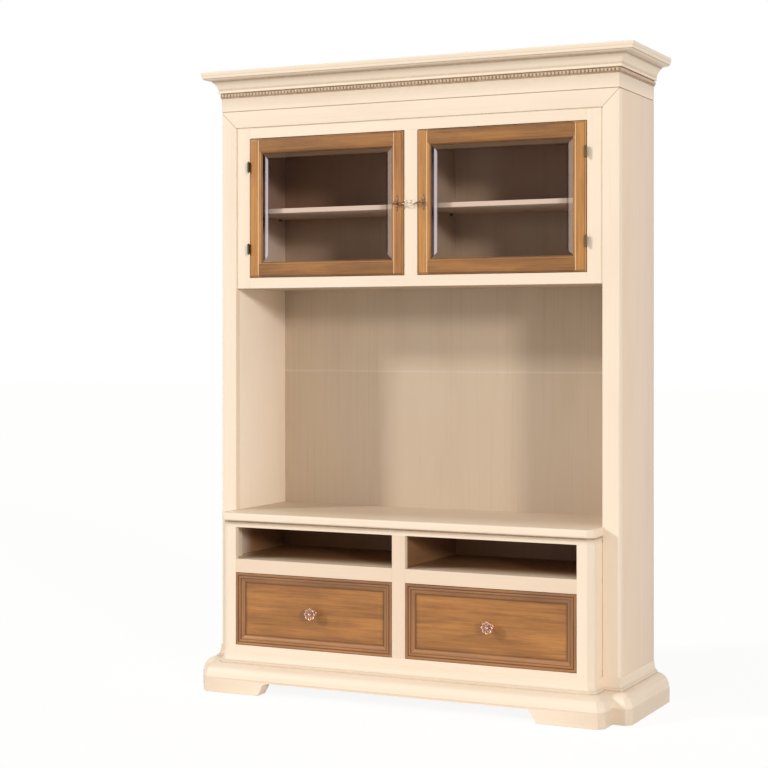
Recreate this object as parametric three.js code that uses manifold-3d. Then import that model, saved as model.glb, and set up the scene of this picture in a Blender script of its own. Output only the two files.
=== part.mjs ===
// Entertainment wall unit: a glazed two-door cabinet over an open niche, on a base with two open
// bays and two drawers. Millimetres, +X to the right, +Y to the back, +Z up.
// Inside the group, y = 0 is the front plane of the two corner posts and z = 0 is the floor.
// The exported group is shifted so that its origin is the middle of the footprint.
import * as THREE from 'three';
import { mergeVertices } from 'three/addons/utils/BufferGeometryUtils.js';
import Module from 'manifold-3d';

const wasm = await Module();
wasm.setup();

// Driving dimensions: widths and depths
const UNIT_WIDTH = 1560; // over the outer faces of the side panels
const SIDE_DEPTH = 388; // from the posts' front plane to the back
const POST_WIDTH = 62;
const POST_THICKNESS = 28;
const SIDE_THICKNESS = 20; // side panels and linings
const BASE_PROJECTION = 98; // how far the base section stands in front of the posts
const SECTION_CHAMFER = 20; // corner chamfer of the base section
const OPENING_WIDTH = 636.5; // one door opening, and one drawer opening below it
const MULLION_WIDTH = 51;
const FRAME_THICKNESS = 22; // face frames, doors and drawer fronts
const PANEL_THICKNESS = 22; // decks and dividers
const BACK_THICKNESS = 8;

// Driving dimensions: heights, from the floor up
const BOTTOM_RAIL_BASE = 52;
const DRAWER_OPENING_BASE = 169;
const DRAWER_OPENING_HEIGHT = 266;
const MID_RAIL_HEIGHT = 49;
const BAY_HEIGHT = 117;
const TOP_RAIL_HEIGHT = 24;
const LEDGE_THICKNESS = 29;
const NICHE_HEIGHT = 827;
const CABINET_BOTTOM_RAIL = 39;
const DOOR_OPENING_HEIGHT = 519;
const CABINET_TOP_RAIL = 41;
const SURROUND_HEIGHT = 61;
const BACK_SEAM_HEIGHT = 1170; // where the two back panels meet, inside the niche

// Clearances and modelling tolerances
const DOOR_GAP = 2;
const DRAWER_GAP = 1.5;
const JOINT_GAP = 0.3; // at cut or turned contacts
const OVERRUN = 2; // how far a cutter runs past what it cuts
const MERGE_TOLERANCE = 0.0005;
const CURVE_STEPS = 4; // segments of a quarter curve in a moulding

// Levels and planes that follow from the driving dimensions
const HALF_WIDTH = UNIT_WIDTH / 2;
const INNER_HALF = HALF_WIDTH - POST_WIDTH;
const SIDE_INNER = HALF_WIDTH - SIDE_THICKNESS;
const BASE_FRONT = -BASE_PROJECTION;
const BASE_FRAME_BACK = BASE_FRONT + FRAME_THICKNESS;
const BACK_PLANE = SIDE_DEPTH - BACK_THICKNESS;
const HALF_MULLION = MULLION_WIDTH / 2;
const OPENING_OUTER = HALF_MULLION + OPENING_WIDTH;
const OPENING_MIDDLE = HALF_MULLION + OPENING_WIDTH / 2;
const DRAWER_OPENING_TOP = DRAWER_OPENING_BASE + DRAWER_OPENING_HEIGHT;
const BAY_BASE = DRAWER_OPENING_TOP + MID_RAIL_HEIGHT;
const BAY_TOP = BAY_BASE + BAY_HEIGHT;
const LEDGE_BASE = BAY_TOP + TOP_RAIL_HEIGHT;
const LEDGE_TOP = LEDGE_BASE + LEDGE_THICKNESS;
const CABINET_BASE = LEDGE_TOP + NICHE_HEIGHT;
const DOOR_OPENING_BASE = CABINET_BASE + CABINET_BOTTOM_RAIL;
const DOOR_OPENING_TOP = DOOR_OPENING_BASE + DOOR_OPENING_HEIGHT;
const SURROUND_BASE = DOOR_OPENING_TOP + CABINET_TOP_RAIL;
const CARCASS_TOP = SURROUND_BASE + SURROUND_HEIGHT;

// Finishes
const lacquer = { color: '#f4e6cb', roughness: 0.5, metalness: 0 };
const lacquerInside = { color: '#d9c4a2', roughness: 0.6, metalness: 0 };
const walnut = { color: '#a9713f', roughness: 0.45, metalness: 0 };
const drawerWood = { color: '#c7a878', roughness: 0.7, metalness: 0 };
const glass = { color: '#dfe8e6', roughness: 0.05, metalness: 0, transparent: true, opacity: 0.35 };
const bronze = { color: '#6d6452', roughness: 0.4, metalness: 0.9 };
const silver = { color: '#b9a99b', roughness: 0.35, metalness: 0.9 };

const unit = new THREE.Group();

// Adds a named mesh to a group
function addPiece(parent, name, geometry, finish) {
  const mesh = new THREE.Mesh(geometry, new THREE.MeshStandardMaterial(finish));
  mesh.name = name;
  parent.add(mesh);
}

// Turns a closed geometry into a solid that can be cut and joined
function toSolid(geometry) {
  const bare = new THREE.BufferGeometry();
  bare.setAttribute('position', geometry.getAttribute('position').clone());
  if (geometry.index) bare.setIndex(geometry.index.clone());
  const merged = mergeVertices(bare, MERGE_TOLERANCE);
  const { array } = merged.index;
  const triangles = Array.from({ length: array.length / 3 }, (_, i) => [...array.slice(3 * i, 3 * i + 3)])
    .filter(([a, b, c]) => a !== b && b !== c && c !== a);
  return new wasm.Manifold(new wasm.Mesh({
    numProp: 3,
    vertProperties: Float32Array.from(merged.getAttribute('position').array),
    triVerts: Uint32Array.from(triangles.flat()),
  }));
}

function toGeometry(solid) {
  const mesh = solid.getMesh();
  const geometry = new THREE.BufferGeometry();
  geometry.setAttribute('position', new THREE.BufferAttribute(mesh.vertProperties, 3));
  geometry.setIndex(new THREE.BufferAttribute(mesh.triVerts, 1));
  return geometry;
}

function cut(geometry, ...cutters) {
  return toGeometry(cutters.reduce((solid, cutter) => solid.subtract(toSolid(cutter)), toSolid(geometry)));
}

function join(geometry, ...others) {
  return toGeometry(others.reduce((solid, other) => solid.add(toSolid(other)), toSolid(geometry)));
}

function common(geometry, other) {
  return toGeometry(toSolid(geometry).intersect(toSolid(other)));
}

// A board between two corners
function board([x0, x1], [y0, y1], [z0, z1]) {
  const box = new THREE.BoxGeometry(x1 - x0, y1 - y0, z1 - z0);
  return box.translate((x0 + x1) / 2, (y0 + y1) / 2, (z0 + z1) / 2);
}

// A plan outline carried up from z0 to z1
function planPrism(outline, z0, z1) {
  const shape = new THREE.Shape(outline.map(([x, y]) => new THREE.Vector2(x, y)));
  return new THREE.ExtrudeGeometry(shape, { depth: z1 - z0, bevelEnabled: false }).translate(0, 0, z0);
}

// A front outline of x and z points carried back from y0 to y1
function frontPrism(outline, y0, y1) {
  const shape = new THREE.Shape(outline.map(([x, z]) => new THREE.Vector2(x, z)));
  const prism = new THREE.ExtrudeGeometry(shape, { depth: y1 - y0, bevelEnabled: false });
  return prism.rotateX(Math.PI / 2).translate(0, y1, 0);
}

// A cylinder along y
function rod(radius, y0, y1, x, z, sides = 16) {
  return new THREE.CylinderGeometry(radius, radius, y1 - y0, sides).translate(x, (y0 + y1) / 2, z);
}

function signedVolume(positions, triangles) {
  const at = (i) => new THREE.Vector3(...positions.slice(3 * i, 3 * i + 3));
  return triangles.reduce((sum, [a, b, c]) => sum + at(a).dot(at(b).cross(at(c))), 0);
}

const upwards = (x, y, z) => [x, y, z];
const backwards = (x, z, y) => [x, y, z];

// Joins rings of points into one closed body. Each level is [travel, amount]; outline(amount) gives
// the ring there, and toPoint(u, v, travel) places it. The ring may grow, shrink or stand still
// from level to level, which is how every moulding here gets its steps, coves and rounds.
function stack(levels, outline, toPoint) {
  const rings = levels.map(([travel, amount]) => outline(amount).map(([u, v]) => [u, v, travel]));
  const count = rings[0].length;
  const positions = rings.flat().flatMap(([u, v, travel]) => toPoint(u, v, travel));
  const triangles = [];
  for (let level = 0; level + 1 < rings.length; level += 1) {
    for (let side = 0; side < count; side += 1) {
      const a = level * count + side;
      const b = level * count + ((side + 1) % count);
      triangles.push([a, b, b + count], [a, b + count, a + count]);
    }
  }
  const cap = (ring) => THREE.ShapeUtils.triangulateShape(
    ring.map(([u, v]) => new THREE.Vector2(u, v)), []);
  const last = (rings.length - 1) * count;
  const facing = Math.sign(THREE.ShapeUtils.area(rings[0].map(([x, y]) => ({ x, y }))));
  const wound = ([a, b, c]) => (facing < 0 ? [a, c, b] : [a, b, c]);
  cap(rings[0]).map(wound).forEach(([a, b, c]) => triangles.push([a, c, b]));
  cap(rings[rings.length - 1]).map(wound)
    .forEach(([a, b, c]) => triangles.push([last + a, last + b, last + c]));
  const geometry = new THREE.BufferGeometry();
  geometry.setAttribute('position', new THREE.Float32BufferAttribute(positions, 3));
  geometry.setIndex(signedVolume(positions, triangles) < 0
    ? triangles.flatMap(([a, b, c]) => [a, c, b]) : triangles.flat());
  return geometry;
}

// A quarter of an ellipse between two pairs. It sets off along the first or the second number.
function quarter([first0, second0], [first1, second1], setsOffAlong) {
  return Array.from({ length: CURVE_STEPS + 1 }, (_, step) => {
    const angle = (step / CURVE_STEPS) * (Math.PI / 2);
    const early = Math.sin(angle);
    const late = 1 - Math.cos(angle);
    const [first, second] = setsOffAlong === 'first' ? [early, late] : [late, early];
    return [first0 + (first1 - first0) * first, second0 + (second1 - second0) * second];
  });
}

// Mirrors a list of points to the left of x = 0 and returns both halves as one outline
function bothSides(rightHalf) {
  return [...rightHalf, ...rightHalf.map(([x, y]) => [-x, y]).reverse()];
}

const SIDES = [['left', -1], ['right', 1]];

// An x range on the chosen side of the unit, lowest first
const across = (sign, near, far) => (sign > 0 ? [near, far] : [-far, -near]);

const flip = (sign, points) => points.map(([x, y]) => [sign * x, y]);

// Side panels, linings and corner posts. The posts' front edges are rounded.
const POST_ROUND = 8;
const innerPostRound = quarter([INNER_HALF, POST_ROUND], [INNER_HALF + POST_ROUND, 0], 'second');
const outerPostRound = quarter([HALF_WIDTH - POST_ROUND, 0], [HALF_WIDTH, POST_ROUND], 'first');

// The wedge above the mitre line, which runs from the surround's inner corner up to the outer one
function mitreWedge() {
  const rise = (OVERRUN * SURROUND_HEIGHT) / POST_WIDTH;
  return [
    [INNER_HALF - OVERRUN, SURROUND_BASE - JOINT_GAP - rise],
    [HALF_WIDTH + OVERRUN, CARCASS_TOP - JOINT_GAP + rise],
    [INNER_HALF - OVERRUN, CARCASS_TOP + rise],
  ];
}

const LINING_TOP = CARCASS_TOP - PANEL_THICKNESS;

for (const [side, sign] of SIDES) {
  addPiece(unit, `side_panel_${side}`,
    board(across(sign, SIDE_INNER, HALF_WIDTH), [POST_THICKNESS, SIDE_DEPTH], [0, CARCASS_TOP]), lacquer);
  addPiece(unit, `lining_${side}`, board(across(sign, INNER_HALF, INNER_HALF + SIDE_THICKNESS),
    [POST_THICKNESS, BACK_PLANE], [0, LINING_TOP]), lacquerInside);
  const plan = [...innerPostRound, ...outerPostRound,
    [HALF_WIDTH, POST_THICKNESS], [INNER_HALF, POST_THICKNESS]];
  addPiece(unit, `post_${side}`, cut(
    planPrism(flip(sign, plan), 0, CARCASS_TOP),
    frontPrism(flip(sign, mitreWedge()), -OVERRUN, POST_THICKNESS + OVERRUN)), lacquer);
}

// The surround's head, mitred to the posts, with the same rounded edge along its underside
function headOutline(inset) {
  const shift = (inset * POST_WIDTH) / SURROUND_HEIGHT;
  return bothSides([[INNER_HALF + shift, SURROUND_BASE + inset], [HALF_WIDTH, CARCASS_TOP]]);
}

addPiece(unit, 'surround_rail', common(
  stack([...quarter([0, POST_ROUND], [POST_ROUND, 0], 'second'), [POST_THICKNESS, 0]],
    headOutline, backwards),
  planPrism(bothSides([...outerPostRound, [HALF_WIDTH, POST_THICKNESS]]),
    SURROUND_BASE - OVERRUN, CARCASS_TOP + OVERRUN)), lacquer);

// Cornice: a frieze with a crown moulding on it, mitred at the front corners
const FRIEZE_HEIGHT = 52;
const DENTIL_BAND = 20;
const CROWN_SIDE_OVERHANG = 64;
const CROWN_FRONT_OVERHANG = 47;
const FRONT_SHARE = CROWN_FRONT_OVERHANG / CROWN_SIDE_OVERHANG;
const CORNICE_BOARD = 22;
const FRIEZE_GROOVE = [4, 3]; // height and depth
const BEAD = [4, 9, 11]; // half height, overhang at its edges and at its middle
const BEAD_FILLET = [4, 10]; // height and overhang, as in the pairs below
const COVE = [28, 24];
const CROWN_FILLET = [3, 26];
const OVOLO_START = 28;
const OVOLO_TURN = [7, 43]; // where its hollow foot turns into its round
const OVOLO = [7, 58];
const NOSE_ROUND = [7, CROWN_SIDE_OVERHANG];
const NOSE_FLAT = 10;
const NOSE_TOP = [4, 61];

// Levels of [height, overhang at the sides]
function corniceLevels() {
  const [grooveHeight, grooveDepth] = FRIEZE_GROOVE;
  const levels = [[0, -grooveDepth], [grooveHeight, -grooveDepth], [grooveHeight, 0]];
  let z = FRIEZE_HEIGHT + DENTIL_BAND;
  const straight = (height, out) => {
    levels.push([z, out], [z + height, out]);
    z += height;
  };
  const curve = (out0, [height, out1], setsOffAlong) => {
    levels.push(...quarter([z, out0], [z + height, out1], setsOffAlong));
    z += height;
  };
  levels.push([z, 0]);
  const [beadHalf, beadEdge, beadOut] = BEAD;
  curve(beadEdge, [beadHalf, beadOut], 'second');
  curve(beadOut, [beadHalf, beadEdge], 'first');
  straight(...BEAD_FILLET);
  curve(BEAD_FILLET[1], COVE, 'first');
  straight(...CROWN_FILLET);
  curve(OVOLO_START, OVOLO_TURN, 'first');
  curve(OVOLO_TURN[1], OVOLO, 'second');
  curve(OVOLO[1], NOSE_ROUND, 'second');
  z += NOSE_FLAT;
  curve(CROWN_SIDE_OVERHANG, NOSE_TOP, 'first');
  return levels
    .map(([height, out]) => [CARCASS_TOP + height, out])
    .filter(([height, out], i, all) => i === 0 || height !== all[i - 1][0] || out !== all[i - 1][1]);
}

const MITRE_INNER = HALF_WIDTH - CORNICE_BOARD / FRONT_SHARE;

addPiece(unit, 'cornice_front', stack(corniceLevels(), (out) => bothSides([
  [MITRE_INNER - JOINT_GAP, CORNICE_BOARD],
  [HALF_WIDTH + out - JOINT_GAP, -out * FRONT_SHARE],
]), upwards), lacquer);

for (const [side, sign] of SIDES) {
  addPiece(unit, `cornice_${side}`, stack(corniceLevels(), (out) => flip(sign, [
    [MITRE_INNER, CORNICE_BOARD],
    [HALF_WIDTH + out, -out * FRONT_SHARE],
    [HALF_WIDTH + out, SIDE_DEPTH],
    [MITRE_INNER, SIDE_DEPTH],
  ]), upwards), lacquer);
}

// Dentil strip: a thin band with small blocks, carried round the front and both sides
const DENTIL_PITCH = 13.6;
const DENTIL_TOOTH_SHARE = 0.6;
const DENTIL_BACKING = 3;
const DENTIL_DEPTH = 8;
const DENTIL_SPAN = [5, 15]; // heights of a block's ends above the band's base
const BAND_HEIGHT = 18;
const BAND_LIFT = 1;

// The comb of one straight run, as [along, out] pairs
function comb(length, outShare) {
  const count = Math.round(length / DENTIL_PITCH);
  const pitch = length / count;
  const gap = (pitch * (1 - DENTIL_TOOTH_SHARE)) / 2;
  const [low, high] = [DENTIL_BACKING * outShare, DENTIL_DEPTH * outShare];
  return Array.from({ length: count }, (_, index) => {
    const [start, end] = [index * pitch + gap, (index + 1) * pitch - gap];
    return [[start, low], [start, high], [end, high], [end, low]];
  }).flat();
}

// The strip's plan, with blocks where the run is a comb and plain where it is empty
function dentilOutline(run) {
  const rightSide = run(SIDE_DEPTH, 1).map(([along, out]) => [HALF_WIDTH + out, along]);
  const frontRun = run(UNIT_WIDTH, FRONT_SHARE).map(([along, out]) => [along - HALF_WIDTH, -out]);
  const corner = [HALF_WIDTH + DENTIL_BACKING, -DENTIL_BACKING * FRONT_SHARE];
  const end = [[HALF_WIDTH + DENTIL_BACKING, SIDE_DEPTH], [HALF_WIDTH, SIDE_DEPTH], [HALF_WIDTH, 0]];
  return [
    ...flip(-1, [corner, ...rightSide, ...end]).reverse(), ...frontRun, corner, ...rightSide, ...end,
  ];
}

const BAND_BASE = CARCASS_TOP + FRIEZE_HEIGHT + BAND_LIFT;
addPiece(unit, 'dentil_strip', join(
  planPrism(dentilOutline(() => []), BAND_BASE, BAND_BASE + BAND_HEIGHT),
  planPrism(dentilOutline(comb), ...DENTIL_SPAN.map((height) => BAND_BASE + height))), lacquer);

// Upper cabinet: top, floor, divider, shelves and back panels
const CABINET_SETBACK = 6; // the face frame lies behind the posts' plane
const FACE_BACK = CABINET_SETBACK + FRAME_THICKNESS;
const SHELF_THICKNESS = 18;
const SHELF_FRONT = 45;
const SHELF_TOP = (DOOR_OPENING_BASE + DOOR_OPENING_TOP - OVERRUN) / 2;
const HALF_DIVIDER = PANEL_THICKNESS / 2;
const INNER_X = [-INNER_HALF, INNER_HALF];
const SIDE_INNER_X = [-SIDE_INNER, SIDE_INNER];
const BEHIND_POST = [POST_THICKNESS, BACK_PLANE];

addPiece(unit, 'top_panel', board(SIDE_INNER_X, BEHIND_POST, [LINING_TOP, CARCASS_TOP]), lacquerInside);
addPiece(unit, 'cabinet_floor', board(INNER_X, BEHIND_POST, [CABINET_BASE, CABINET_BASE + PANEL_THICKNESS]),
  lacquer);
addPiece(unit, 'cabinet_divider', board([-HALF_DIVIDER, HALF_DIVIDER], BEHIND_POST,
  [CABINET_BASE + PANEL_THICKNESS, LINING_TOP]), lacquerInside);
for (const [side, sign] of SIDES) {
  addPiece(unit, `cabinet_shelf_${side}`, board(across(sign, HALF_DIVIDER, INNER_HALF),
    [SHELF_FRONT, BACK_PLANE], [SHELF_TOP - SHELF_THICKNESS, SHELF_TOP]), lacquerInside);
}
addPiece(unit, 'upper_back', board(SIDE_INNER_X, [BACK_PLANE, SIDE_DEPTH], [BACK_SEAM_HEIGHT, CARCASS_TOP]),
  lacquerInside);
addPiece(unit, 'lower_back', board(SIDE_INNER_X, [BACK_PLANE, SIDE_DEPTH],
  [BOTTOM_RAIL_BASE, BACK_SEAM_HEIGHT - JOINT_GAP]), lacquerInside);

// Face frame of the cabinet
const FACE_Y = [CABINET_SETBACK, FACE_BACK];
for (const [side, sign] of SIDES) {
  addPiece(unit, `face_stile_${side}`, board(across(sign, OPENING_OUTER, INNER_HALF), FACE_Y,
    [CABINET_BASE, SURROUND_BASE]), lacquer);
}
const FACE_RAIL_X = [-OPENING_OUTER, OPENING_OUTER];
addPiece(unit, 'face_rail_top', board(FACE_RAIL_X, FACE_Y, [DOOR_OPENING_TOP, SURROUND_BASE]), lacquer);
addPiece(unit, 'face_rail_bottom', board(FACE_RAIL_X, FACE_Y, [CABINET_BASE, DOOR_OPENING_BASE]), lacquer);
addPiece(unit, 'face_mullion', board([-HALF_MULLION, HALF_MULLION], FACE_Y,
  [DOOR_OPENING_BASE, DOOR_OPENING_TOP]), lacquer);

// Base section. Its plan outline has chamfered front corners and square returns to the posts.
// side and front are how far the outline stands out from the section's own faces.
function sectionFront(side, front, returnEnd) {
  return [
    [INNER_HALF + side, returnEnd],
    [INNER_HALF + side, BASE_FRONT - front + SECTION_CHAMFER],
    [INNER_HALF + side - SECTION_CHAMFER, BASE_FRONT - front],
  ];
}

const RETURN_INNER = INNER_HALF - PANEL_THICKNESS;

for (const [side, sign] of SIDES) {
  addPiece(unit, `base_stile_${side}`, planPrism(flip(sign, [
    ...sectionFront(0, 0, -JOINT_GAP),
    [OPENING_OUTER, BASE_FRONT], [OPENING_OUTER, BASE_FRAME_BACK],
    [RETURN_INNER, BASE_FRAME_BACK], [RETURN_INNER, -JOINT_GAP],
  ]), 0, BAY_TOP), lacquer);
}

// Top rail: it lies on the stiles and mullion and swells into a cove under the ledge
const COVE_LIFT = 10;
const COVE_OUT = 8;
const COVE_LIP = 3;
const LEDGE_SIDE_SHARE = 0.3; // overhang at the sides over overhang at the front

addPiece(unit, 'base_rail_top', stack([
  [BAY_TOP, 0],
  ...quarter([BAY_TOP + COVE_LIFT, 0], [LEDGE_BASE - COVE_LIP, COVE_OUT], 'first'),
  [LEDGE_BASE, COVE_OUT],
], (out) => bothSides([
  [RETURN_INNER, BASE_FRAME_BACK], [RETURN_INNER, -JOINT_GAP],
  ...sectionFront(out * LEDGE_SIDE_SHARE, out, -JOINT_GAP),
]), upwards), lacquer);

// The mid rail and the mullion cross in a halved joint
const BASE_Y = [BASE_FRONT, BASE_FRAME_BACK];
const HALVING_PLANE = (BASE_FRONT + BASE_FRAME_BACK) / 2;
addPiece(unit, 'base_rail_mid', cut(
  board(FACE_RAIL_X, BASE_Y, [DRAWER_OPENING_TOP, BAY_BASE]),
  board([-HALF_MULLION - JOINT_GAP, HALF_MULLION + JOINT_GAP], [BASE_FRONT - OVERRUN, HALVING_PLANE],
    [DRAWER_OPENING_TOP - OVERRUN, BAY_BASE + OVERRUN])), lacquer);
addPiece(unit, 'base_mullion', cut(
  board([-HALF_MULLION, HALF_MULLION], BASE_Y, [DRAWER_OPENING_BASE, BAY_TOP]),
  board([-HALF_MULLION - OVERRUN, HALF_MULLION + OVERRUN],
    [HALVING_PLANE - JOINT_GAP, BASE_FRAME_BACK + OVERRUN],
    [DRAWER_OPENING_TOP - JOINT_GAP, BAY_BASE + JOINT_GAP])), lacquer);
addPiece(unit, 'base_rail_bottom', board(FACE_RAIL_X, BASE_Y, [BOTTOM_RAIL_BASE, DRAWER_OPENING_BASE]),
  lacquer);

// The ledge: a rounded edge all along the front, notched round the posts
const LEDGE_OVERHANG = 16;
const LEDGE_ROUND = 7;

function ledgeOutline(inset) {
  const front = LEDGE_OVERHANG - inset;
  return bothSides([
    [INNER_HALF, BACK_PLANE], [INNER_HALF, -JOINT_GAP],
    ...sectionFront(front * LEDGE_SIDE_SHARE, front, -JOINT_GAP),
  ]);
}

addPiece(unit, 'ledge_board', stack([
  ...quarter([LEDGE_BASE, LEDGE_ROUND], [LEDGE_BASE + LEDGE_ROUND, 0], 'second'),
  ...quarter([LEDGE_TOP - LEDGE_ROUND, 0], [LEDGE_TOP, LEDGE_ROUND], 'first'),
], ledgeOutline, upwards), lacquer);

// Decks of the base. Each is narrower between the returns and wider between the linings.
function deckOutline() {
  return bothSides([
    [INNER_HALF, BACK_PLANE], [INNER_HALF, 0], [RETURN_INNER, 0], [RETURN_INNER, BASE_FRAME_BACK],
  ]);
}

const DECK_SLOT_START = (BASE_FRAME_BACK + BACK_PLANE) / 2;
const BAY_DECK_BASE = BAY_BASE - PANEL_THICKNESS;
addPiece(unit, 'base_floor',
  planPrism(deckOutline(), DRAWER_OPENING_BASE - PANEL_THICKNESS, DRAWER_OPENING_BASE), lacquerInside);
// The bay deck and the divider slot into each other, half way each
addPiece(unit, 'bay_deck', cut(
  planPrism(deckOutline(), BAY_DECK_BASE, BAY_BASE),
  board([-HALF_DIVIDER - JOINT_GAP, HALF_DIVIDER + JOINT_GAP], [DECK_SLOT_START, BACK_PLANE + OVERRUN],
    [BAY_DECK_BASE - OVERRUN, BAY_BASE + OVERRUN])), lacquerInside);
addPiece(unit, 'base_divider', cut(
  board([-HALF_DIVIDER, HALF_DIVIDER], [BASE_FRAME_BACK, BACK_PLANE], [DRAWER_OPENING_BASE, LEDGE_BASE]),
  board([-HALF_DIVIDER - OVERRUN, HALF_DIVIDER + OVERRUN],
    [BASE_FRAME_BACK - OVERRUN, DECK_SLOT_START + JOINT_GAP],
    [BAY_DECK_BASE - JOINT_GAP, BAY_BASE + JOINT_GAP])), lacquerInside);

// Plinth: a flat foot board, a big ovolo, a fillet and a cove that dies into the carcass
const PLINTH_OVERHANG = 58;
const FOOT_BOARD_HEIGHT = 54;
const PLINTH_QUIRK = 2; // step between the foot board and the ovolo
const PLINTH_OVOLO_TOP = 104;
const PLINTH_FILLET_TOP = 110;
const PLINTH_COVE_BASE = 112;
const PLINTH_TOP = 147;
const PLINTH_SHOULDER = 14; // overhang of the fillet, the cove's start and the top edge
const PLINTH_COVE = 12;
const PLINTH_LIP = 1.5;

// Levels of [height, overhang]
const OVOLO_BASE = FOOT_BOARD_HEIGHT + PLINTH_QUIRK;
const plinthLevels = [
  [0, PLINTH_OVERHANG], [FOOT_BOARD_HEIGHT, PLINTH_OVERHANG],
  ...quarter([OVOLO_BASE, PLINTH_OVERHANG - PLINTH_QUIRK], [PLINTH_OVOLO_TOP, PLINTH_SHOULDER], 'first'),
  [PLINTH_FILLET_TOP, PLINTH_SHOULDER],
  ...quarter([PLINTH_COVE_BASE, PLINTH_COVE], [PLINTH_TOP, PLINTH_LIP], 'second'),
];

// The front apron between the bracket feet is cut away, with a slanted toe and a rounded heel
const FOOT_TOE = 538; // half width of the cut at the floor
const FOOT_SLANT = [15, 27]; // run and rise of the toe
const FOOT_HEEL = 496; // half width of the cut at its top
const APRON_LIFT = 46;

function apronCut() {
  const [run, rise] = FOOT_SLANT;
  const heel = quarter([FOOT_TOE - run, rise], [FOOT_HEEL, APRON_LIFT], 'second');
  return bothSides([[FOOT_TOE, -OVERRUN], [FOOT_TOE, 0], ...heel]);
}

addPiece(unit, 'plinth_front', cut(
  stack(plinthLevels, (out) => bothSides([
    ...sectionFront(0, 0, -out - JOINT_GAP).reverse(), ...sectionFront(out, out, -out - JOINT_GAP),
  ]), upwards),
  frontPrism(apronCut(), BASE_FRONT - PLINTH_OVERHANG - OVERRUN, BASE_FRONT + OVERRUN)), lacquer);

// Each side plinth wraps the post's front and the side panel, with a chamfered corner
for (const [side, sign] of SIDES) {
  addPiece(unit, `plinth_${side}`, stack(plinthLevels, (out) => {
    const chamfer = (SECTION_CHAMFER * out) / PLINTH_OVERHANG;
    return flip(sign, [
      [INNER_HALF, 0], [INNER_HALF, -out], [HALF_WIDTH + out - chamfer, -out],
      [HALF_WIDTH + out, -out + chamfer], [HALF_WIDTH + out, SIDE_DEPTH],
      [HALF_WIDTH, SIDE_DEPTH], [HALF_WIDTH, 0],
    ]);
  }, upwards), lacquer);
}

// Glazed doors. The frame members share one edge profile, and the rails are coped to the stiles.
const DOOR_FACE = 0; // the door's face lies in the posts' plane
const DOOR_STILE = 50;
const DOOR_TOP_RAIL = 56;
const DOOR_BOTTOM_RAIL = 57;
const DOOR_EDGE_ROUND = 8; // rounding of the outer front edge
const STICKING_WIDTH = 11; // moulded inner edge
const STICKING_DEPTH = 8;
const RABBET_DEPTH = 12;
const RABBET_WIDTH = 8;
const PANE_THICKNESS = 4;
const PANE_GAP = 1;

// Levels of [depth from the face, {insets of the outer edge, the inner edge and a rail's coped end}]
const doorLevels = [
  ...quarter([0, STICKING_WIDTH], [STICKING_DEPTH, 0], 'second').map(([depth, inner]) => {
    const left = Math.max(0, DOOR_EDGE_ROUND - depth);
    const outer = DOOR_EDGE_ROUND - Math.sqrt(DOOR_EDGE_ROUND ** 2 - left ** 2);
    return [depth, { outer, inner, cope: inner }];
  }),
  [RABBET_DEPTH, { outer: 0, inner: 0, cope: 0 }],
  [RABBET_DEPTH, { outer: 0, inner: RABBET_WIDTH, cope: 0 }],
  [RABBET_DEPTH + JOINT_GAP, { outer: 0, inner: RABBET_WIDTH, cope: 0 }],
  [RABBET_DEPTH + JOINT_GAP, { outer: 0, inner: RABBET_WIDTH, cope: RABBET_WIDTH }],
  [FRAME_THICKNESS, { outer: 0, inner: RABBET_WIDTH, cope: RABBET_WIDTH }],
];

const DOOR_BASE = DOOR_OPENING_BASE + DOOR_GAP;
const DOOR_TOP = DOOR_OPENING_TOP - DOOR_GAP;
const DOOR_INNER_X = HALF_MULLION + DOOR_GAP; // edge beside the mullion
const DOOR_OUTER_X = OPENING_OUTER - DOOR_GAP; // edge beside the hinges
const DOOR_MIDDLE_Z = (DOOR_BASE + DOOR_TOP) / 2;

const doorMember = (outline) => stack(doorLevels, outline, backwards).translate(0, DOOR_FACE, 0);

// A rail's ends stop short of the stiles by the joint gap. direction points from the edge inwards.
function railOutline(sign, edgeZ, height, direction) {
  return ({ outer, inner, cope }) => {
    const x0 = DOOR_INNER_X + DOOR_STILE - cope + JOINT_GAP;
    const x1 = DOOR_OUTER_X - DOOR_STILE + cope - JOINT_GAP;
    const [z0, z1] = [edgeZ + direction * outer, edgeZ + direction * (height - inner)];
    return flip(sign, [[x0, z0], [x1, z0], [x1, z1], [x0, z1]]);
  };
}

function stileOutline(sign, edgeX, direction) {
  return ({ outer, inner }) => {
    const [x0, x1] = [edgeX + direction * outer, edgeX + direction * (DOOR_STILE - inner)];
    const [z0, z1] = [DOOR_BASE + outer, DOOR_TOP - outer];
    return flip(sign, [[x0, z0], [x1, z0], [x1, z1], [x0, z1]]);
  };
}

// Latch: an arm on a spindle through the inner stile, with a cam behind it
const SPINDLE_RADIUS = 3.5;
const SPINDLE_BORE = 3.9;
const SPINDLE_FRONT = -18;
const LATCH_X = DOOR_INNER_X + DOOR_STILE / 2;
const ARM_HEIGHT = 8;
const ARM_THICKNESS = 5;
const CAM_LENGTH = 38; // from the spindle's axis
const CAM_WIDTH = 11;
const CAM_THICKNESS = 3;
const CAM_FRONT = FACE_BACK + 2 * JOINT_GAP;
const ESCUTCHEON_WIDTH = 18;
const ESCUTCHEON_HEIGHT = 60;
const ESCUTCHEON_THICKNESS = 2.5;
const escutcheonShares = [[0, 0.5], [0.35, 0.42], [0.65, 0.3], [0.5, 0.2], [1, 0.08]];

// A plate that narrows above and below the spindle and ends in points
function escutcheonOutline(x, z) {
  const upper = escutcheonShares.map(([widthShare, heightShare]) => [
    (ESCUTCHEON_WIDTH / 2) * widthShare, ESCUTCHEON_HEIGHT * heightShare]);
  const half = [...upper, ...upper.map(([u, v]) => [u, -v]).reverse()];
  return [...half, ...flip(-1, half.slice(1, -1)).reverse()].map(([u, v]) => [x + u, z + v]);
}

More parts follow.
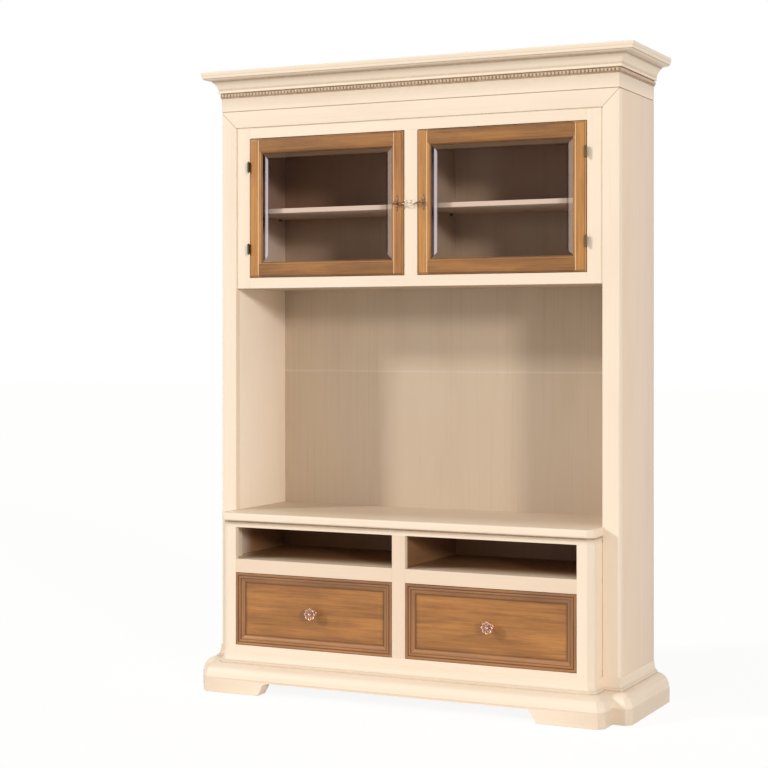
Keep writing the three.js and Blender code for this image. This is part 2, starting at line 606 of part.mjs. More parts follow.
// Hinge: a knuckle in front of the joint, with its leaf on the face stile's edge
const KNUCKLE_RADIUS = 4.5;
const KNUCKLE_LENGTH = 36;
const KNUCKLE_CLEARANCE = 0.6;
const HINGE_INSET = 105; // from the door's ends to the knuckle's middle
const LEAF_THICKNESS = 1.2;
const KNUCKLE_X = OPENING_OUTER - LEAF_THICKNESS / 2;
const KNUCKLE_Y = DOOR_FACE - KNUCKLE_RADIUS - KNUCKLE_CLEARANCE;
const KNUCKLE_SIDES = 16;

function hingeGeometry(sign, z) {
  const knuckle = new THREE.CylinderGeometry(KNUCKLE_RADIUS, KNUCKLE_RADIUS, KNUCKLE_LENGTH, KNUCKLE_SIDES)
    .rotateX(Math.PI / 2).translate(sign * KNUCKLE_X, KNUCKLE_Y, z);
  return join(knuckle, board(across(sign, OPENING_OUTER - LEAF_THICKNESS, OPENING_OUTER),
    [KNUCKLE_Y, FRAME_THICKNESS], [z - KNUCKLE_LENGTH / 2, z + KNUCKLE_LENGTH / 2]));
}

for (const [side, sign] of SIDES) {
  const door = new THREE.Group();
  unit.add(door);
  const latchX = sign * LATCH_X;
  addPiece(door, `door_${side}_inner_stile`, cut(doorMember(stileOutline(sign, DOOR_INNER_X, 1)),
    rod(SPINDLE_BORE, -OVERRUN, FRAME_THICKNESS + OVERRUN, latchX, DOOR_MIDDLE_Z)), walnut);
  addPiece(door, `door_${side}_outer_stile`, doorMember(stileOutline(sign, DOOR_OUTER_X, -1)), walnut);
  addPiece(door, `door_${side}_top_rail`,
    doorMember(railOutline(sign, DOOR_TOP, DOOR_TOP_RAIL, -1)), walnut);
  addPiece(door, `door_${side}_bottom_rail`,
    doorMember(railOutline(sign, DOOR_BASE, DOOR_BOTTOM_RAIL, 1)), walnut);
  const paneEdge = RABBET_WIDTH - PANE_GAP;
  addPiece(door, `door_${side}_glass`, board(
    across(sign, DOOR_INNER_X + DOOR_STILE - paneEdge, DOOR_OUTER_X - DOOR_STILE + paneEdge),
    [RABBET_DEPTH + JOINT_GAP, RABBET_DEPTH + JOINT_GAP + PANE_THICKNESS],
    [DOOR_BASE + DOOR_BOTTOM_RAIL - paneEdge, DOOR_TOP - DOOR_TOP_RAIL + paneEdge]), glass);

  addPiece(door, `door_${side}_escutcheon`, cut(
    frontPrism(escutcheonOutline(latchX, DOOR_MIDDLE_Z), DOOR_FACE - ESCUTCHEON_THICKNESS, DOOR_FACE),
    rod(SPINDLE_BORE, -ESCUTCHEON_THICKNESS - OVERRUN, OVERRUN, latchX, DOOR_MIDDLE_Z)), bronze);
  const arm = board(across(sign, OVERRUN, LATCH_X + ARM_HEIGHT / 2),
    [SPINDLE_FRONT, SPINDLE_FRONT + ARM_THICKNESS],
    [DOOR_MIDDLE_Z - ARM_HEIGHT / 2, DOOR_MIDDLE_Z + ARM_HEIGHT / 2]);
  const cam = board([latchX - CAM_WIDTH / 2, latchX + CAM_WIDTH / 2], [CAM_FRONT, CAM_FRONT + CAM_THICKNESS],
    [DOOR_MIDDLE_Z - CAM_WIDTH / 2, DOOR_MIDDLE_Z + CAM_LENGTH]);
  const spindle = rod(SPINDLE_RADIUS, SPINDLE_FRONT + OVERRUN, CAM_FRONT + OVERRUN, latchX, DOOR_MIDDLE_Z);
  addPiece(door, `door_${side}_latch`, join(spindle, arm, cam), bronze);

  addPiece(unit, `hinge_${side}_upper`, hingeGeometry(sign, DOOR_TOP - HINGE_INSET), bronze);
  addPiece(unit, `hinge_${side}_lower`, hingeGeometry(sign, DOOR_BASE + HINGE_INSET), bronze);
}

// Drawers. Each front is one board whose face is moulded like a picture frame round a flat field.
const FRONT_EDGE_ROUND = 3;
const FRAME_BAND = 14; // flat outer band
const FRAME_GROOVE = [3, 4]; // depth and width
const FRAME_OVOLO = [7, 28]; // depth and inset where the ovolo ends
const FIELD = [11, 36]; // depth and inset of the flat field

// Levels of [depth from the face, inset from the front's edge]
function drawerFrontLevels() {
  const [grooveDepth, grooveWidth] = FRAME_GROOVE;
  const [ovoloDepth] = FRAME_OVOLO;
  const [fieldDepth, fieldInset] = FIELD;
  const grooveEnd = FRAME_BAND + grooveWidth;
  return [
    [FRAME_THICKNESS, 0],
    ...quarter([FRONT_EDGE_ROUND, 0], [0, FRONT_EDGE_ROUND], 'first'),
    [0, FRAME_BAND], [grooveDepth, FRAME_BAND], [grooveDepth, (FRAME_BAND + grooveEnd) / 2],
    ...quarter([grooveDepth / 2, grooveEnd], FRAME_OVOLO, 'second'),
    [ovoloDepth, (FRAME_OVOLO[1] + fieldInset) / 2], [fieldDepth, fieldInset],
  ];
}

const BOX_WALL = 12;
const BOX_BOTTOM = 10;
const BOX_HEIGHT = 225;
const BOX_LENGTH = 420;
const BOX_SIDE_GAP = 2;

// Knob: a turned stem and boss that carry an openwork ring
const KNOB_SIDES = 20;
const RING_RADIUS = 20;
const RING_WIRE = 3;
const RING_REACH = 19; // from the drawer's field
const SPOKE_COUNT = 6;
const SPOKE_WIDTH = 4;
const RING_SEGMENTS = 28;
const WIRE_SIDES = 8;
// Profile points of [radius, reach from the drawer's field]
const knobProfile = [
  [0, 0], [13, 0], [13, 2], [9, 4], [5, 8], [5, 15], [8, 19], [10, 23], [9, 27], [5, 31], [0, 32],
];

function knobGeometry() {
  const turned = new THREE.LatheGeometry(knobProfile.map(([r, h]) => new THREE.Vector2(r, h)), KNOB_SIDES)
    .rotateX(Math.PI);
  const ring = new THREE.TorusGeometry(RING_RADIUS, RING_WIRE, WIRE_SIDES, RING_SEGMENTS)
    .rotateX(Math.PI / 2).translate(0, -RING_REACH, 0);
  const spokes = Array.from({ length: SPOKE_COUNT / 2 }, (_, index) => board(
    [-RING_RADIUS, RING_RADIUS], [-SPOKE_WIDTH / 2, SPOKE_WIDTH / 2], [-SPOKE_WIDTH / 2, SPOKE_WIDTH / 2])
    .rotateY((2 * Math.PI * index) / SPOKE_COUNT).translate(0, -RING_REACH, 0));
  return join(turned, ring, ...spokes);
}

for (const [side, sign] of SIDES) {
  const drawer = new THREE.Group();
  unit.add(drawer);
  const [x0, x1] = across(sign, HALF_MULLION + DRAWER_GAP, OPENING_OUTER - DRAWER_GAP);
  const [z0, z1] = [DRAWER_OPENING_BASE + DRAWER_GAP, DRAWER_OPENING_TOP - DRAWER_GAP];
  addPiece(drawer, `drawer_${side}_front`, stack(drawerFrontLevels(), (inset) => [
    [x0 + inset, z0 + inset], [x1 - inset, z0 + inset], [x1 - inset, z1 - inset], [x0 + inset, z1 - inset],
  ], backwards).translate(0, BASE_FRONT, 0), walnut);

  const boxX = across(sign, HALF_MULLION + BOX_SIDE_GAP, OPENING_OUTER - BOX_SIDE_GAP);
  const boxY = [BASE_FRAME_BACK, BASE_FRAME_BACK + BOX_LENGTH];
  const boxBase = DRAWER_OPENING_BASE + JOINT_GAP;
  addPiece(drawer, `drawer_${side}_box`, cut(board(boxX, boxY, [boxBase, boxBase + BOX_HEIGHT]), board(
    [boxX[0] + BOX_WALL, boxX[1] - BOX_WALL], [boxY[0] + BOX_WALL, boxY[1] - BOX_WALL],
    [boxBase + BOX_BOTTOM, boxBase + BOX_HEIGHT + OVERRUN])), drawerWood);

  addPiece(drawer, `drawer_${side}_knob`, knobGeometry()
    .translate(sign * OPENING_MIDDLE, BASE_FRONT + FIELD[0], (z0 + z1) / 2), silver);
}

// The origin is the middle of the footprint: the plinth's front and the back are equally far from it
unit.position.y = (BASE_PROJECTION + PLINTH_OVERHANG - SIDE_DEPTH) / 2;

export default unit;
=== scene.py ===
"""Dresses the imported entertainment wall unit: fine shapes, finishes, camera, light and floor.

Sizes are in millimetres unless a name ends in _m. In them x is measured from the middle, y from the
front plane of the corner posts and z from the floor; metres() turns them into the row frame.
"""
import logging
import math
from dataclasses import dataclass
from enum import Enum
from typing import Optional, Sequence, Union

import bpy
import numpy as np
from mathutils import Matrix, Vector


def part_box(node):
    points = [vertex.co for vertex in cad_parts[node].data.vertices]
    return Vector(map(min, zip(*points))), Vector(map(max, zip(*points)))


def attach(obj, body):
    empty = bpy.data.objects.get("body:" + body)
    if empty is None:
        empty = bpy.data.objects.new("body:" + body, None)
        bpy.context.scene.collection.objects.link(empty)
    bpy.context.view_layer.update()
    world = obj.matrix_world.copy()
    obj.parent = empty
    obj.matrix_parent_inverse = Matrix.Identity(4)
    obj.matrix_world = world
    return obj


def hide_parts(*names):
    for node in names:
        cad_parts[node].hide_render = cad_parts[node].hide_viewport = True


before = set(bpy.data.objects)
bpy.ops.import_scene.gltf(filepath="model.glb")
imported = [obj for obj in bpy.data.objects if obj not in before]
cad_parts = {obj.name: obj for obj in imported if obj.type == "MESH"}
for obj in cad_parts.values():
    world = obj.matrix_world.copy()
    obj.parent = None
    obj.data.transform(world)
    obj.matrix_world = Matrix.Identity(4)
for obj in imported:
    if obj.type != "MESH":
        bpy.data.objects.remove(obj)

log = logging.getLogger("wall_unit")
Array = np.ndarray
Colour = tuple[float, float, float]
Step = tuple[float, float]
MM = 0.001
POST_PLANE = np.array([0.0, -116.0, 0.0])
SHARP = 32.0
SHARP_METAL = 50.0
CARCASS = "carcass"

# Driving sizes that several sub-assemblies share
HALF_WIDTH = 780.0
INNER_HALF = 718.0
DEPTH = 388.0
CARCASS_TOP = 2141.0
BASE_FRONT = -98.0
CHAMFER = 20.0
BOARD = 22.0
GAP = 0.3
HINGE_HEIGHTS = {"upper": 1932.0, "lower": 1627.0}


class Side(Enum):
    """The left or the right half of the unit."""

    LEFT = -1
    RIGHT = 1

    @property
    def word(self) -> str:
        """The side's word in piece names."""
        return self.name.lower()


class Grain(Enum):
    """The way the grain or the brush marks run."""

    ACROSS = 0
    DEEP = 1
    UPRIGHT = 2


class Early(Enum):
    """Which number of a pair a quarter curve changes first."""

    FIRST = 0
    SECOND = 1


def srgb(red: float, green: float, blue: float) -> tuple[float, float, float, float]:
    """A colour written as 0 to 255 sRGB values, as linear numbers: ((c + 0.055) / 1.055) ** 2.4.

    Args:
        red: red from 0 to 255.
        green: green from 0 to 255.
        blue: blue from 0 to 255.

    Returns:
        Linear red, green, blue and an alpha of 1.
    """
    part = [((c / 255 + 0.055) / 1.055) ** 2.4 for c in (red, green, blue)]
    return (part[0], part[1], part[2], 1.0)


# Shapes


def metres(points: Array) -> Array:
    """Points in millimetres behind the posts' front plane, as metres in the row frame."""
    return (points + POST_PLANE) * MM


def quarter(start: Sequence[float], end: Sequence[float], early: Early, steps: int = 10) -> Array:
    """Points of a quarter ellipse between two pairs.

    With the angle a going from 0 to 90 degrees, the early number goes by sin a and the late one by
    1 - cos a.

    Args:
        start: the first pair.
        end: the last pair.
        early: the number that changes first.
        steps: how many segments.

    Returns:
        An array of steps + 1 pairs.
    """
    angle = np.linspace(0.0, math.pi / 2, steps + 1)
    shares = [np.sin(angle), 1 - np.cos(angle)]
    if early is Early.SECOND:
        shares.reverse()
    begin = np.asarray(start, float)
    return begin + (np.asarray(end, float) - begin) * np.stack(shares, axis=1)


def path(*parts: Union[Array, Sequence[float]]) -> Array:
    """Joins single pairs and runs of pairs, leaving out repeated points.

    Args:
        parts: pairs and arrays of pairs, in order.

    Returns:
        One array of pairs.
    """
    rows = np.concatenate([np.atleast_2d(np.asarray(part, float)) for part in parts])
    keep = np.ones(len(rows), bool)
    keep[1:] = np.any(np.abs(np.diff(rows, axis=0)) > 1e-9, axis=1)
    return rows[keep]


def mirrored(points: Array) -> Array:
    """The points followed by their mirror image in x, so that both make one closed outline."""
    other = points[::-1] * np.array([-1.0] + [1.0] * (points.shape[1] - 1))
    return np.concatenate([points, other])


def hollow(levels: Array) -> Array:
    """How deep each point of a moulding lies in an inner corner, from 0 to 1.

    At each point the turn between the segments before and after it is taken, signed so that inner
    corners count, then spread to the neighbours by a short moving average.

    Args:
        levels: pairs of height and overhang, in order.

    Returns:
        One number for each level.
    """
    step = np.diff(levels, axis=0)
    turn = np.zeros(len(levels))
    cross = step[:-1, 0] * step[1:, 1] - step[:-1, 1] * step[1:, 0]
    length = np.hypot(*step.T)
    turn[1:-1] = np.clip(cross / np.maximum(length[:-1] * length[1:], 1e-9), 0, 1)
    spread = turn.copy()
    spread[1:] += 0.3 * turn[:-1]
    spread[:-1] += 0.3 * turn[1:]
    return np.clip(spread * 1.5, 0, 1)


def refined(levels: Array, reach: float = 2.0) -> Array:
    """The levels with more points near the ends of long segments, so that the glaze and painted
    shade of a corner stay in it.

    A segment longer than four times the reach gets one point at that distance from each end.

    Args:
        levels: pairs of height and overhang, in order.
        reach: the distance, in millimetres.

    Returns:
        The levels with the added points.
    """
    step = np.diff(levels, axis=0)
    length = np.hypot(*step.T)
    share = (reach / np.maximum(length, reach))[:, None]
    grid = np.stack([levels[:-1], levels[:-1] + step * share, levels[1:] - step * share], axis=1)
    keep = np.ones(grid.shape[:2], bool)
    keep[:, 1:] = (length > 4 * reach)[:, None]
    return np.concatenate([grid[keep], levels[-1:]])


@dataclass
class Surface:
    """A closed surface: points in millimetres, faces, and how much glaze each point holds.

    Glaze runs from 0 to 1 and also stands for painted shade in hollows; below 0 it stands for an edge
    painted lighter as a highlight.
    """

    points: Array
    faces: list[tuple[int, ...]]
    glaze: Optional[Array] = None

    def joined(self, *others: "Surface") -> "Surface":
        """This surface and others in one mesh, as separate closed shells.

        Args:
            others: the surfaces to add.

        Returns:
            All of them in one.
        """
        points, faces, glaze = [self.points], list(self.faces), [self._glaze()]
        count = len(self.points)
        for other in others:
            points.append(other.points)
            glaze.append(other._glaze())
            faces += [tuple(i + count for i in face) for face in other.faces]
            count += len(other.points)
        return Surface(np.concatenate(points), faces, np.concatenate(glaze))

    def _glaze(self) -> Array:
        """The glaze, or zeros where none was given."""
        return np.zeros(len(self.points)) if self.glaze is None else self.glaze

    def moved(self, x: float = 0.0, y: float = 0.0, z: float = 0.0) -> "Surface":
        """A copy shifted by the given distances."""
        return Surface(self.points + np.array([x, y, z]), self.faces, self.glaze)

    def turned(self, axis: int, degrees: float) -> "Surface":
        """A copy turned about one of the axes through the origin.

        Args:
            axis: 0 for x, 1 for y, 2 for z.
            degrees: how far it turns.

        Returns:
            The turned copy.
        """
        a = math.radians(degrees)
        turn = np.eye(3)
        i, j = [(1, 2), (2, 0), (0, 1)][axis]
        turn[i, i] = turn[j, j] = math.cos(a)
        turn[i, j], turn[j, i] = -math.sin(a), math.sin(a)
        return Surface(self.points @ turn.T, self.faces, self.glaze)

    def flipped(self) -> "Surface":
        """The mirror image in x, with its faces still outwards."""
        faces = [face[::-1] for face in self.faces]
        return Surface(self.points * np.array([-1.0, 1.0, 1.0]), faces, self.glaze)

    def on(self, side: Side) -> "Surface":
        """The surface as it is for the right side, and its mirror image for the left one."""
        return self if side is Side.RIGHT else self.flipped()

    def glazed(self, glaze: Union[float, Array]) -> "Surface":
        """A copy with the given glaze, one number for all points or one for each."""
        return Surface(self.points, self.faces, np.zeros(len(self.points)) + glaze)


def loft(rings: Array, glaze: Optional[Array] = None, closed: bool = False) -> Surface:
    """Joins rings of points into one closed surface.

    Point (i, j) of the grid is ring i, place j. Quads join ring i to ring i + 1 all the way round,
    and the first and last rings are capped, or joined to each other when closed is true.

    Args:
        rings: an array of rings by places by 3.
        glaze: one number for each ring, or for each point.
        closed: true where the last ring meets the first.

    Returns:
        The surface, with its faces outwards.
    """
    count, places = rings.shape[:2]
    spans = count if closed else count - 1
    i, j = np.meshgrid(np.arange(spans), np.arange(places), indexing="ij")
    ahead, beside = (i + 1) % count, (j + 1) % places
    quads = np.stack([i * places + j, i * places + beside, ahead * places + beside,
                      ahead * places + j], axis=-1).reshape(-1, 4)
    faces = [tuple(q) for q in quads.tolist()]
    if not closed:
        faces.append(tuple(range(places))[::-1])
        faces.append(tuple((count - 1) * places + k for k in range(places)))
    points = rings.reshape(-1, 3)
    if glaze is not None and glaze.size == count:
        glaze = np.repeat(glaze, places)
    first = points[quads]
    volume = np.einsum("ij,ij->i", first[:, 0], np.cross(first[:, 1], first[:, 2])).sum()
    volume += np.einsum("ij,ij->i", first[:, 0], np.cross(first[:, 2], first[:, 3])).sum()
    if not closed:
        for cap in faces[-2:]:
            fan = points[list(cap)]
            volume += np.einsum("ij,ij->i", np.repeat(fan[:1], places - 2, 0),
                                np.cross(fan[1:-1], fan[2:])).sum()
    if volume < 0:
        faces = [face[::-1] for face in faces]
    return Surface(points, faces, glaze)


def moulding(levels: Array, base: Array, slope: Array, upright: bool = True) -> Surface:
    """A profile carried round an outline.

    Ring i stands at height levels[i, 0], and its places are base + slope * levels[i, 1]. When
    upright is false the first number is a depth along y and the outline lies in x and z.

    Args:
        levels: pairs of travel and overhang.
        base: the outline at no overhang, as pairs.
        slope: how each place moves for each millimetre of overhang.
        upright: whether the profile rises or goes back.

    Returns:
        The moulding.
    """
    levels = refined(levels)
    flat = base[None] + levels[:, 1, None, None] * slope[None]
    travel = np.broadcast_to(levels[:, 0, None, None], flat[..., :1].shape)
    parts = (flat, travel) if upright else (flat[..., :1], travel, flat[..., 1:])
    return loft(np.concatenate(parts, axis=-1), hollow(levels))


def board(low: Sequence[float], high: Sequence[float], ease: float = 1.0) -> Surface:
    """A board with eased edges.

    The inner rectangle is grown by ease * sin a while the height goes by ease * (1 - cos a), at
    both ends, and each corner of the outline is three points on an arc.

    Args:
        low: the lowest corner.
        high: the highest corner.
        ease: the radius of the edges.

    Returns:
        The board.
    """
    (x0, y0, z0), (x1, y1, z1) = low, high
    turn = np.radians([180, 225, 270, 270, 315, 360, 0, 45, 90, 90, 135, 180])
    corner = np.repeat([[x0 + ease, y0 + ease], [x1 - ease, y0 + ease], [x1 - ease, y1 - ease],
                        [x0 + ease, y1 - ease]], 3, axis=0)
    a = np.radians([12, 40, 65, 90])
    rise, grow = ease * (1 - np.cos(a)), ease * np.sin(a)
    levels = np.concatenate([np.stack([z0 + rise, grow], 1), np.stack([z1 - rise, grow], 1)[::-1]])
    solid = moulding(levels, corner, np.stack([np.cos(turn), np.sin(turn)], 1))
    return Surface(solid.points, solid.faces)


def turned(profile: Array, sides: int = 32) -> Surface:
    """A turned piece about the y axis: a profile of radius and reach towards the front.

    Place (i, j) is (r cos a, -reach, r sin a) with a = 360 degrees * j / sides.

    Args:
        profile: pairs of radius and reach, radius above 0.
        sides: how many places there are round it.

    Returns:
        The turned piece, with its faces outwards.
    """
    a = np.arange(sides) * 2 * math.pi / sides
    r, reach = profile[:, 0, None], profile[:, 1, None]
    rings = np.stack([r * np.cos(a), -np.broadcast_to(reach, (len(profile), sides)), r * np.sin(a)], -1)
    return loft(rings, hollow(profile[:, ::-1]))


def tube(spine: Array, radius: Union[float, Array], sides: int = 10, closed: bool = False) -> Surface:
    """A round wire along a line of points.

    At each point the direction d is the central difference of its neighbours. The two cross
    directions are n = d x k and d x n, with k the axis that the line leans on least.

    Args:
        spine: points of the wire's middle.
        radius: one radius, or one for each point.
        sides: how many places there are round it.
        closed: true for a ring.

    Returns:
        The wire.
    """
    if closed:
        d = np.roll(spine, -1, 0) - np.roll(spine, 1, 0)
    else:
        d = np.gradient(spine, axis=0)
    d /= np.linalg.norm(d, axis=1, keepdims=True)
    k = np.eye(3)[np.argmin(np.abs(d).max(axis=0))]
    n = np.cross(d, k)
    n /= np.linalg.norm(n, axis=1, keepdims=True)
    b = np.cross(d, n)
    a = np.arange(sides) * 2 * math.pi / sides
    r = np.broadcast_to(np.asarray(radius, float), (len(spine),))[:, None, None]
    rings = spine[:, None] + r * (n[:, None] * np.cos(a)[:, None] + b[:, None] * np.sin(a)[:, None])
    return loft(rings, None, closed)


# Materials


class Value:
    """A number, vector or colour that flows through a material."""

    def __init__(self, tree: "Nodes", socket: Optional[bpy.types.NodeSocket]) -> None:
        """Wraps one output socket of a tree, or none for a node that has no outputs."""
        self.tree = tree
        self.socket = socket

    def _maths(self, operation: str, *terms: object) -> "Value":
        """One Math node."""
        return self.tree.node("ShaderNodeMath", {"operation": operation}, dict(enumerate(terms)))

    def __add__(self, other: object) -> "Value":
        """Sum."""
        return self._maths("ADD", self, other)

    __radd__ = __add__

    def __sub__(self, other: object) -> "Value":
        """Difference."""
        return self._maths("SUBTRACT", self, other)

    def __rsub__(self, other: object) -> "Value":
        """Difference, the other way round."""
        return self._maths("SUBTRACT", other, self)

    def __mul__(self, other: object) -> "Value":
        """Product."""
        return self._maths("MULTIPLY", self, other)

    __rmul__ = __mul__

    def __abs__(self) -> "Value":
        """The number without its sign."""
        return self._maths("ABSOLUTE", self)

    def larger(self, other: "Value") -> "Value":
        """The larger of two numbers."""
        return self._maths("MAXIMUM", self, other)


class Nodes:
    """The node tree of one material or world."""

    def __init__(self, owner: Union[bpy.types.Material, bpy.types.World]) -> None:
        """Empties the owner's tree.

        Args:
            owner: the material or world whose nodes are made anew.
        """
        owner.use_nodes = True
        self.tree = owner.node_tree
        self.tree.nodes.clear()

    def node(self, kind: str, settings: dict[str, object], inputs: dict[Union[str, int], object],
             output: Union[str, int] = 0) -> Value:
        """Adds a node.

        Args:
            kind: the node's type.
            settings: properties that are set first.
            inputs: socket names or numbers, with values or links.
            output: the socket that is handed back.

        Returns:
            The node's output.
        """
        made = self.tree.nodes.new(kind)
        for key, setting in settings.items():
            setattr(made, key, setting)
        for key, given in inputs.items():
            if isinstance(given, Value):
                self.tree.links.new(given.socket, made.inputs[key])
            else:
                made.inputs[key].default_value = given
        return Value(self, made.outputs[output] if len(made.outputs) else None)

    def coords(self, scale: Sequence[float], shift: Sequence[float] = (0, 0, 0)) -> Value:
        """Object coordinates in metres, stretched and shifted."""
        where = self.node("ShaderNodeTexCoord", {}, {}, "Object")
        return self.node("ShaderNodeMapping", {}, {"Vector": where, "Scale": scale, "Location": shift})

    def noise(self, where: Value, detail: float = 3.0, rough: float = 0.55, bend: float = 0.0) -> Value:
        """Fractal noise from 0 to 1 at a scale of one."""
        return self.node("ShaderNodeTexNoise", {}, {"Vector": where, "Scale": 1.0, "Detail": detail,
                                                    "Roughness": rough, "Distortion": bend})

    def span(self, value: Value, low: float, high: float, to_low: float = 0.0,
             to_high: float = 1.0) -> Value:
        """A smooth step of a value from one range to another.

        Args:
            value: the value.
            low: where the step starts.
            high: where it ends.
            to_low: the result at its start and before it.
            to_high: the result at its end and beyond it.

        Returns:
            The step's result.
        """
        return self.node("ShaderNodeMapRange", {"interpolation_type": "SMOOTHSTEP"},
                         {"Value": value, "From Min": low, "From Max": high, "To Min": to_low,
                          "To Max": to_high})

    def mix(self, share: object, first: object, second: object) -> Value:
        """A colour between two colours."""
        return self.node("ShaderNodeMix", {"data_type": "RGBA"}, {0: share, 6: first, 7: second}, 2)

    def glaze(self) -> Value:
        """The piece's own glaze, from 0 to 1, partly painted shade, and below 0 where an edge is painted
        pale as a highlight.
        """
        return self.node("ShaderNodeAttribute", {"attribute_name": "glaze"}, {}, "Fac")

    def along(self, axis: str, space: str = "Object") -> Value:
        """The place along an axis of the object, in metres, or the normal's share of it."""
        where = self.node("ShaderNodeTexCoord", {}, {}, space)
        return self.node("ShaderNodeSeparateXYZ", {}, {0: where}, axis)

    def mitre(self, out: float, up: float, rise: float) -> Value:
        """How far a point lies above or below the mitre that climbs outwards from out and up."""
        return abs(self.along("Z") - up - (abs(self.along("X")) - out) * rise)

    def seen_by(self, *rays: str) -> Value:
        """Whether a ray is of any of the named kinds: the largest of the Light Path's outputs.

        Args:
            rays: the outputs' names.

        Returns:
            1 or 0.
        """
        kinds = self.node("ShaderNodeLightPath", {}, {}).socket.node.outputs
        share = Value(self, kinds[rays[0]])
        for ray in rays[1:]:
            share = share.larger(Value(self, kinds[ray]))
        return share

    def bump(self, height: Value, distance: float, strength: float = 1.0) -> Value:
        """A bumped normal."""
        return self.node("ShaderNodeBump", {}, {"Height": height, "Distance": distance,
                                                "Strength": strength})

    def surface(self, **inputs: object) -> None:
        """A Principled surface, linked to the output; underscores in names stand for spaces."""
        named = {key.replace("_", " "): value for key, value in inputs.items()}
        self.output(self.node("ShaderNodeBsdfPrincipled", {}, named))

    def blend(self, share: object, first: Value, second: Value) -> Value:
        """A mix of two shaders."""
        return self.node("ShaderNodeMixShader", {}, {0: share, 1: first, 2: second})

    def output(self, shader: Value) -> None:
        """Links a shader to the material's output."""
        self.node("ShaderNodeOutputMaterial", {}, {"Surface": shader})


class Finish:
    """A finish that can dress a piece."""

    def made(self) -> bpy.types.Material:
        """The finish's material, made once.

        Returns:
            The material.
        """
        name = self.label()
        found = bpy.data.materials.get(name)
        if found is None:
            found = bpy.data.materials.new(name)
            self.build(Nodes(found))
        return found

    def label(self) -> str:
        """The material's name."""
        raise NotImplementedError

    def build(self, nodes: Nodes) -> None:
        """Fills the material's nodes."""
        raise NotImplementedError


# Colours that the glaze mixes in. In the hollows the glaze and stain also stand in for painted shade,
# LEDGE_SHADE is painted shade towards the ledge's back, and the pale walnut one paints highlights on
# arrises.
OLD_GLAZE_AND_SHADE = srgb(150, 116, 78)
MITRE_LINE = srgb(150, 120, 88)
LEDGE_SHADE = srgb(150, 120, 92)
WALNUT_STAIN_AND_SHADE = srgb(66, 36, 16)
WALNUT_HIGHLIGHT = srgb(238, 206, 164)


class Tone(Enum):
    """The lacquer's tones: its name, its colour and the colour of its streaks."""

    CREAM = ("cream", (248, 231, 209), (238, 217, 192))
    # A deeper, warmer copy of the cream: painted shade on the side panels and on the base's mid rail and
    # mullion.
    WARM = ("warm", (239, 217, 193), (227, 203, 177))
    SHELF = ("shelf", (244, 226, 206), (232, 210, 188))
    # A lighter copy of the cream: painted light on the linings.
    LINING = ("lining", (252, 238, 220), (242, 223, 203))
    LEDGE = ("ledge", (248, 231, 209), (238, 217, 192))
    # A deeper copy of the cream: painted shade in the middle opening and on the cabinet's floor, divider
    # and backs.
    NICHE = ("niche", (200, 181, 158), (185, 163, 138))
    # Brown: painted shade inside the cupboards and the bays, and on the top panel.
    HOLLOW = ("hollow", (150, 110, 76), (127, 91, 60))


def stretched(grain: Grain, along: float, across: float) -> tuple[float, float, float]:
    """Scales per metre, small along the grain and large across it.

    Args:
        grain: the way the grain runs.
        along: the scale along it.
        across: the scale in the other two directions.

    Returns:
        A scale for each axis.
    """
    scale = [across, across, across]
    scale[grain.value] = along
    return (scale[0], scale[1], scale[2])


@dataclass(frozen=True)
class Steps:
    """Soft steps of the lacquer's tones and of its painted shade and light, in metres of the row frame:
    where each starts and ends.
    """

    below_top: Step = (2.1405, 2.1385)
    before_back: Step = (0.2705, 0.2685)
    divider_left: Step = (-0.015, 0.0)
    divider_right: Step = (0.03, 0.015)
    left_wall: Step = (-0.66, -0.7)
    bay_depth: Step = (-0.21, -0.06)
    right_cupboard: Step = (-0.012, 0.0)
    from_divider: Step = (0.3, 0.08)
    below_head: Step = (2.08, 1.98)
    above_floor: Step = (1.482, 1.512)
    upper_half: Step = (1.68, 1.8)
    below_ledge: Step = (0.652, 0.612)
    seam_low: Step = (1.165, 1.1675)
    seam_high: Step = (1.175, 1.1725)
    ledge_depth: Step = (-0.2, 0.02)
    mitre_line: Step = (0.0022, 0.0008)


